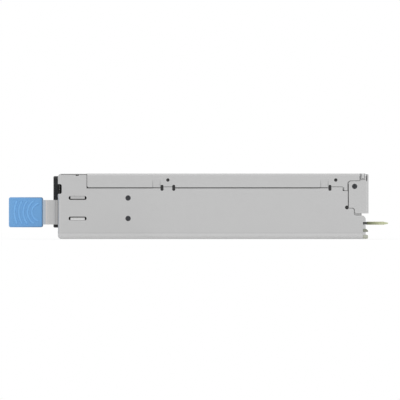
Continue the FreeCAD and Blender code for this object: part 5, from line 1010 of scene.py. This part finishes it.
def seen_rays(tree):
    """One for camera, glossy and transmission rays, and nought for the light that reaches the object."""
    path = tree.nodes.new("ShaderNodeLightPath")
    seen = maths(tree, "MAXIMUM", path.outputs["Is Camera Ray"], path.outputs["Is Glossy Ray"])
    return maths(tree, "MAXIMUM", seen, path.outputs["Is Transmission Ray"])


def white_surroundings(stage):
    """World that lights the object plainly and looks white."""
    world = bpy.data.worlds.new("studio")
    world.use_nodes = True
    tree = world.node_tree
    plain = tree.nodes["Background"]
    plain.inputs["Strength"].default_value = stage.sky_light
    white = tree.nodes.new("ShaderNodeBackground")
    for node in (plain, white):
        node.inputs["Color"].default_value = (1, 1, 1, 1)
    both = tree.nodes.new("ShaderNodeMixShader")
    tree.links.new(seen_rays(tree), both.inputs["Fac"])
    tree.links.new(plain.outputs[0], both.inputs[1])
    tree.links.new(white.outputs[0], both.inputs[2])
    tree.links.new(both.outputs[0], tree.nodes["World Output"].inputs["Surface"])
    bpy.context.scene.world = world


def floor_finish(stage):
    """Matt floor that takes a soft shadow and otherwise looks white."""
    made = bpy.data.materials.new("studio floor")
    made.use_nodes = True
    tree = made.node_tree
    shader = tree.nodes["Principled BSDF"]
    shader.inputs["Base Color"].default_value = stage.floor
    shader.inputs["Roughness"].default_value = 0.9
    shader.inputs["Specular IOR Level"].default_value = 0.0
    glow = tree.nodes.new("ShaderNodeEmission")
    both = tree.nodes.new("ShaderNodeMixShader")
    tree.links.new(maths(tree, "MULTIPLY", seen_rays(tree), FLOOR_GLOW), both.inputs["Fac"])
    tree.links.new(shader.outputs[0], both.inputs[1])
    tree.links.new(glow.outputs[0], both.inputs[2])
    tree.links.new(both.outputs[0], tree.nodes["Material Output"].inputs["Surface"])
    return made


def add_floor(stage):
    shape = bmesh.new()
    bmesh.ops.create_grid(shape, x_segments=1, y_segments=1, size=stage.floor_half,
                          matrix=Matrix.Translation((0, 0, CAD_BOX[0].z - FLOOR_GAP)))
    mesh = bpy.data.meshes.new("floor")
    shape.to_mesh(mesh)
    shape.free()
    mesh.materials.append(floor_finish(stage))
    floor = bpy.data.objects.new("floor", mesh)
    bpy.context.scene.collection.objects.link(floor)


def add_camera(stage, middle):
    """Level camera square on to the near wall, far enough off to see the frame's width there."""
    data = bpy.data.cameras.new("camera")
    data.lens = stage.lens
    data.sensor_width = SENSOR
    away = stage.frame_width * stage.lens / SENSOR
    data.clip_end = 2 * away
    camera = bpy.data.objects.new("camera", data)
    near_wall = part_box("tray")[0].y
    camera.location = (middle.x + stage.look_right, near_wall - away, CAD_BOX[0].z + stage.look_up)
    camera.rotation_euler = (math.pi / 2, 0, 0)
    bpy.context.scene.collection.objects.link(camera)
    bpy.context.scene.camera = camera


class SUPPLY_OT_stage(bpy.types.Operator):
    """Set up the floor, the soft light and the camera"""
    bl_idname = "supply.stage"
    bl_label = "Stage"

    def execute(self, context):
        stage = context.scene.supply_stage
        middle = (CAD_BOX[0] + CAD_BOX[1]) / 2
        add_floor(stage)
        white_surroundings(stage)
        for name, place, side, setting in LAMPS:
            lamp(name, place, middle, side, getattr(stage, setting))
        add_camera(stage, middle)
        context.scene.view_settings.view_transform = "Standard"
        return {"FINISHED"}


# ---------------------------------------------------------------- panel and registration
class SUPPLY_PT_panel(bpy.types.Panel):
    """Sizes, colours and steps of the supply's finishing"""
    bl_idname = "SUPPLY_PT_panel"
    bl_label = "Server power supply"
    bl_space_type = "VIEW_3D"
    bl_region_type = "UI"
    bl_category = "Supply"

    def draw(self, context):
        for operator in STEPS:
            self.layout.operator(operator.bl_idname)
        for group in settings():
            box = self.layout.box()
            for name in group.bl_rna.properties.keys():
                if name not in ("rna_type", "name"):
                    box.prop(group, name)


STEPS = (SUPPLY_OT_grip, SUPPLY_OT_screws, SUPPLY_OT_capacitors, SUPPLY_OT_finishes, SUPPLY_OT_stage)
CLASSES = (SupplySizes, SupplyColours, SupplyStage) + STEPS + (SUPPLY_PT_panel,)


def register():
    for item in CLASSES:
        bpy.utils.register_class(item)
    bpy.types.Scene.supply_sizes = bpy.props.PointerProperty(type=SupplySizes)
    bpy.types.Scene.supply_colours = bpy.props.PointerProperty(type=SupplyColours)
    bpy.types.Scene.supply_stage = bpy.props.PointerProperty(type=SupplyStage)


def unregister():
    del bpy.types.Scene.supply_stage
    del bpy.types.Scene.supply_colours
    del bpy.types.Scene.supply_sizes
    for item in reversed(CLASSES):
        bpy.utils.unregister_class(item)


def main():
    register()
    bpy.ops.supply.grip()
    bpy.ops.supply.screws()
    bpy.ops.supply.capacitors()
    bpy.ops.supply.finishes()
    bpy.ops.supply.stage()


if __name__ == "__main__":
    main()
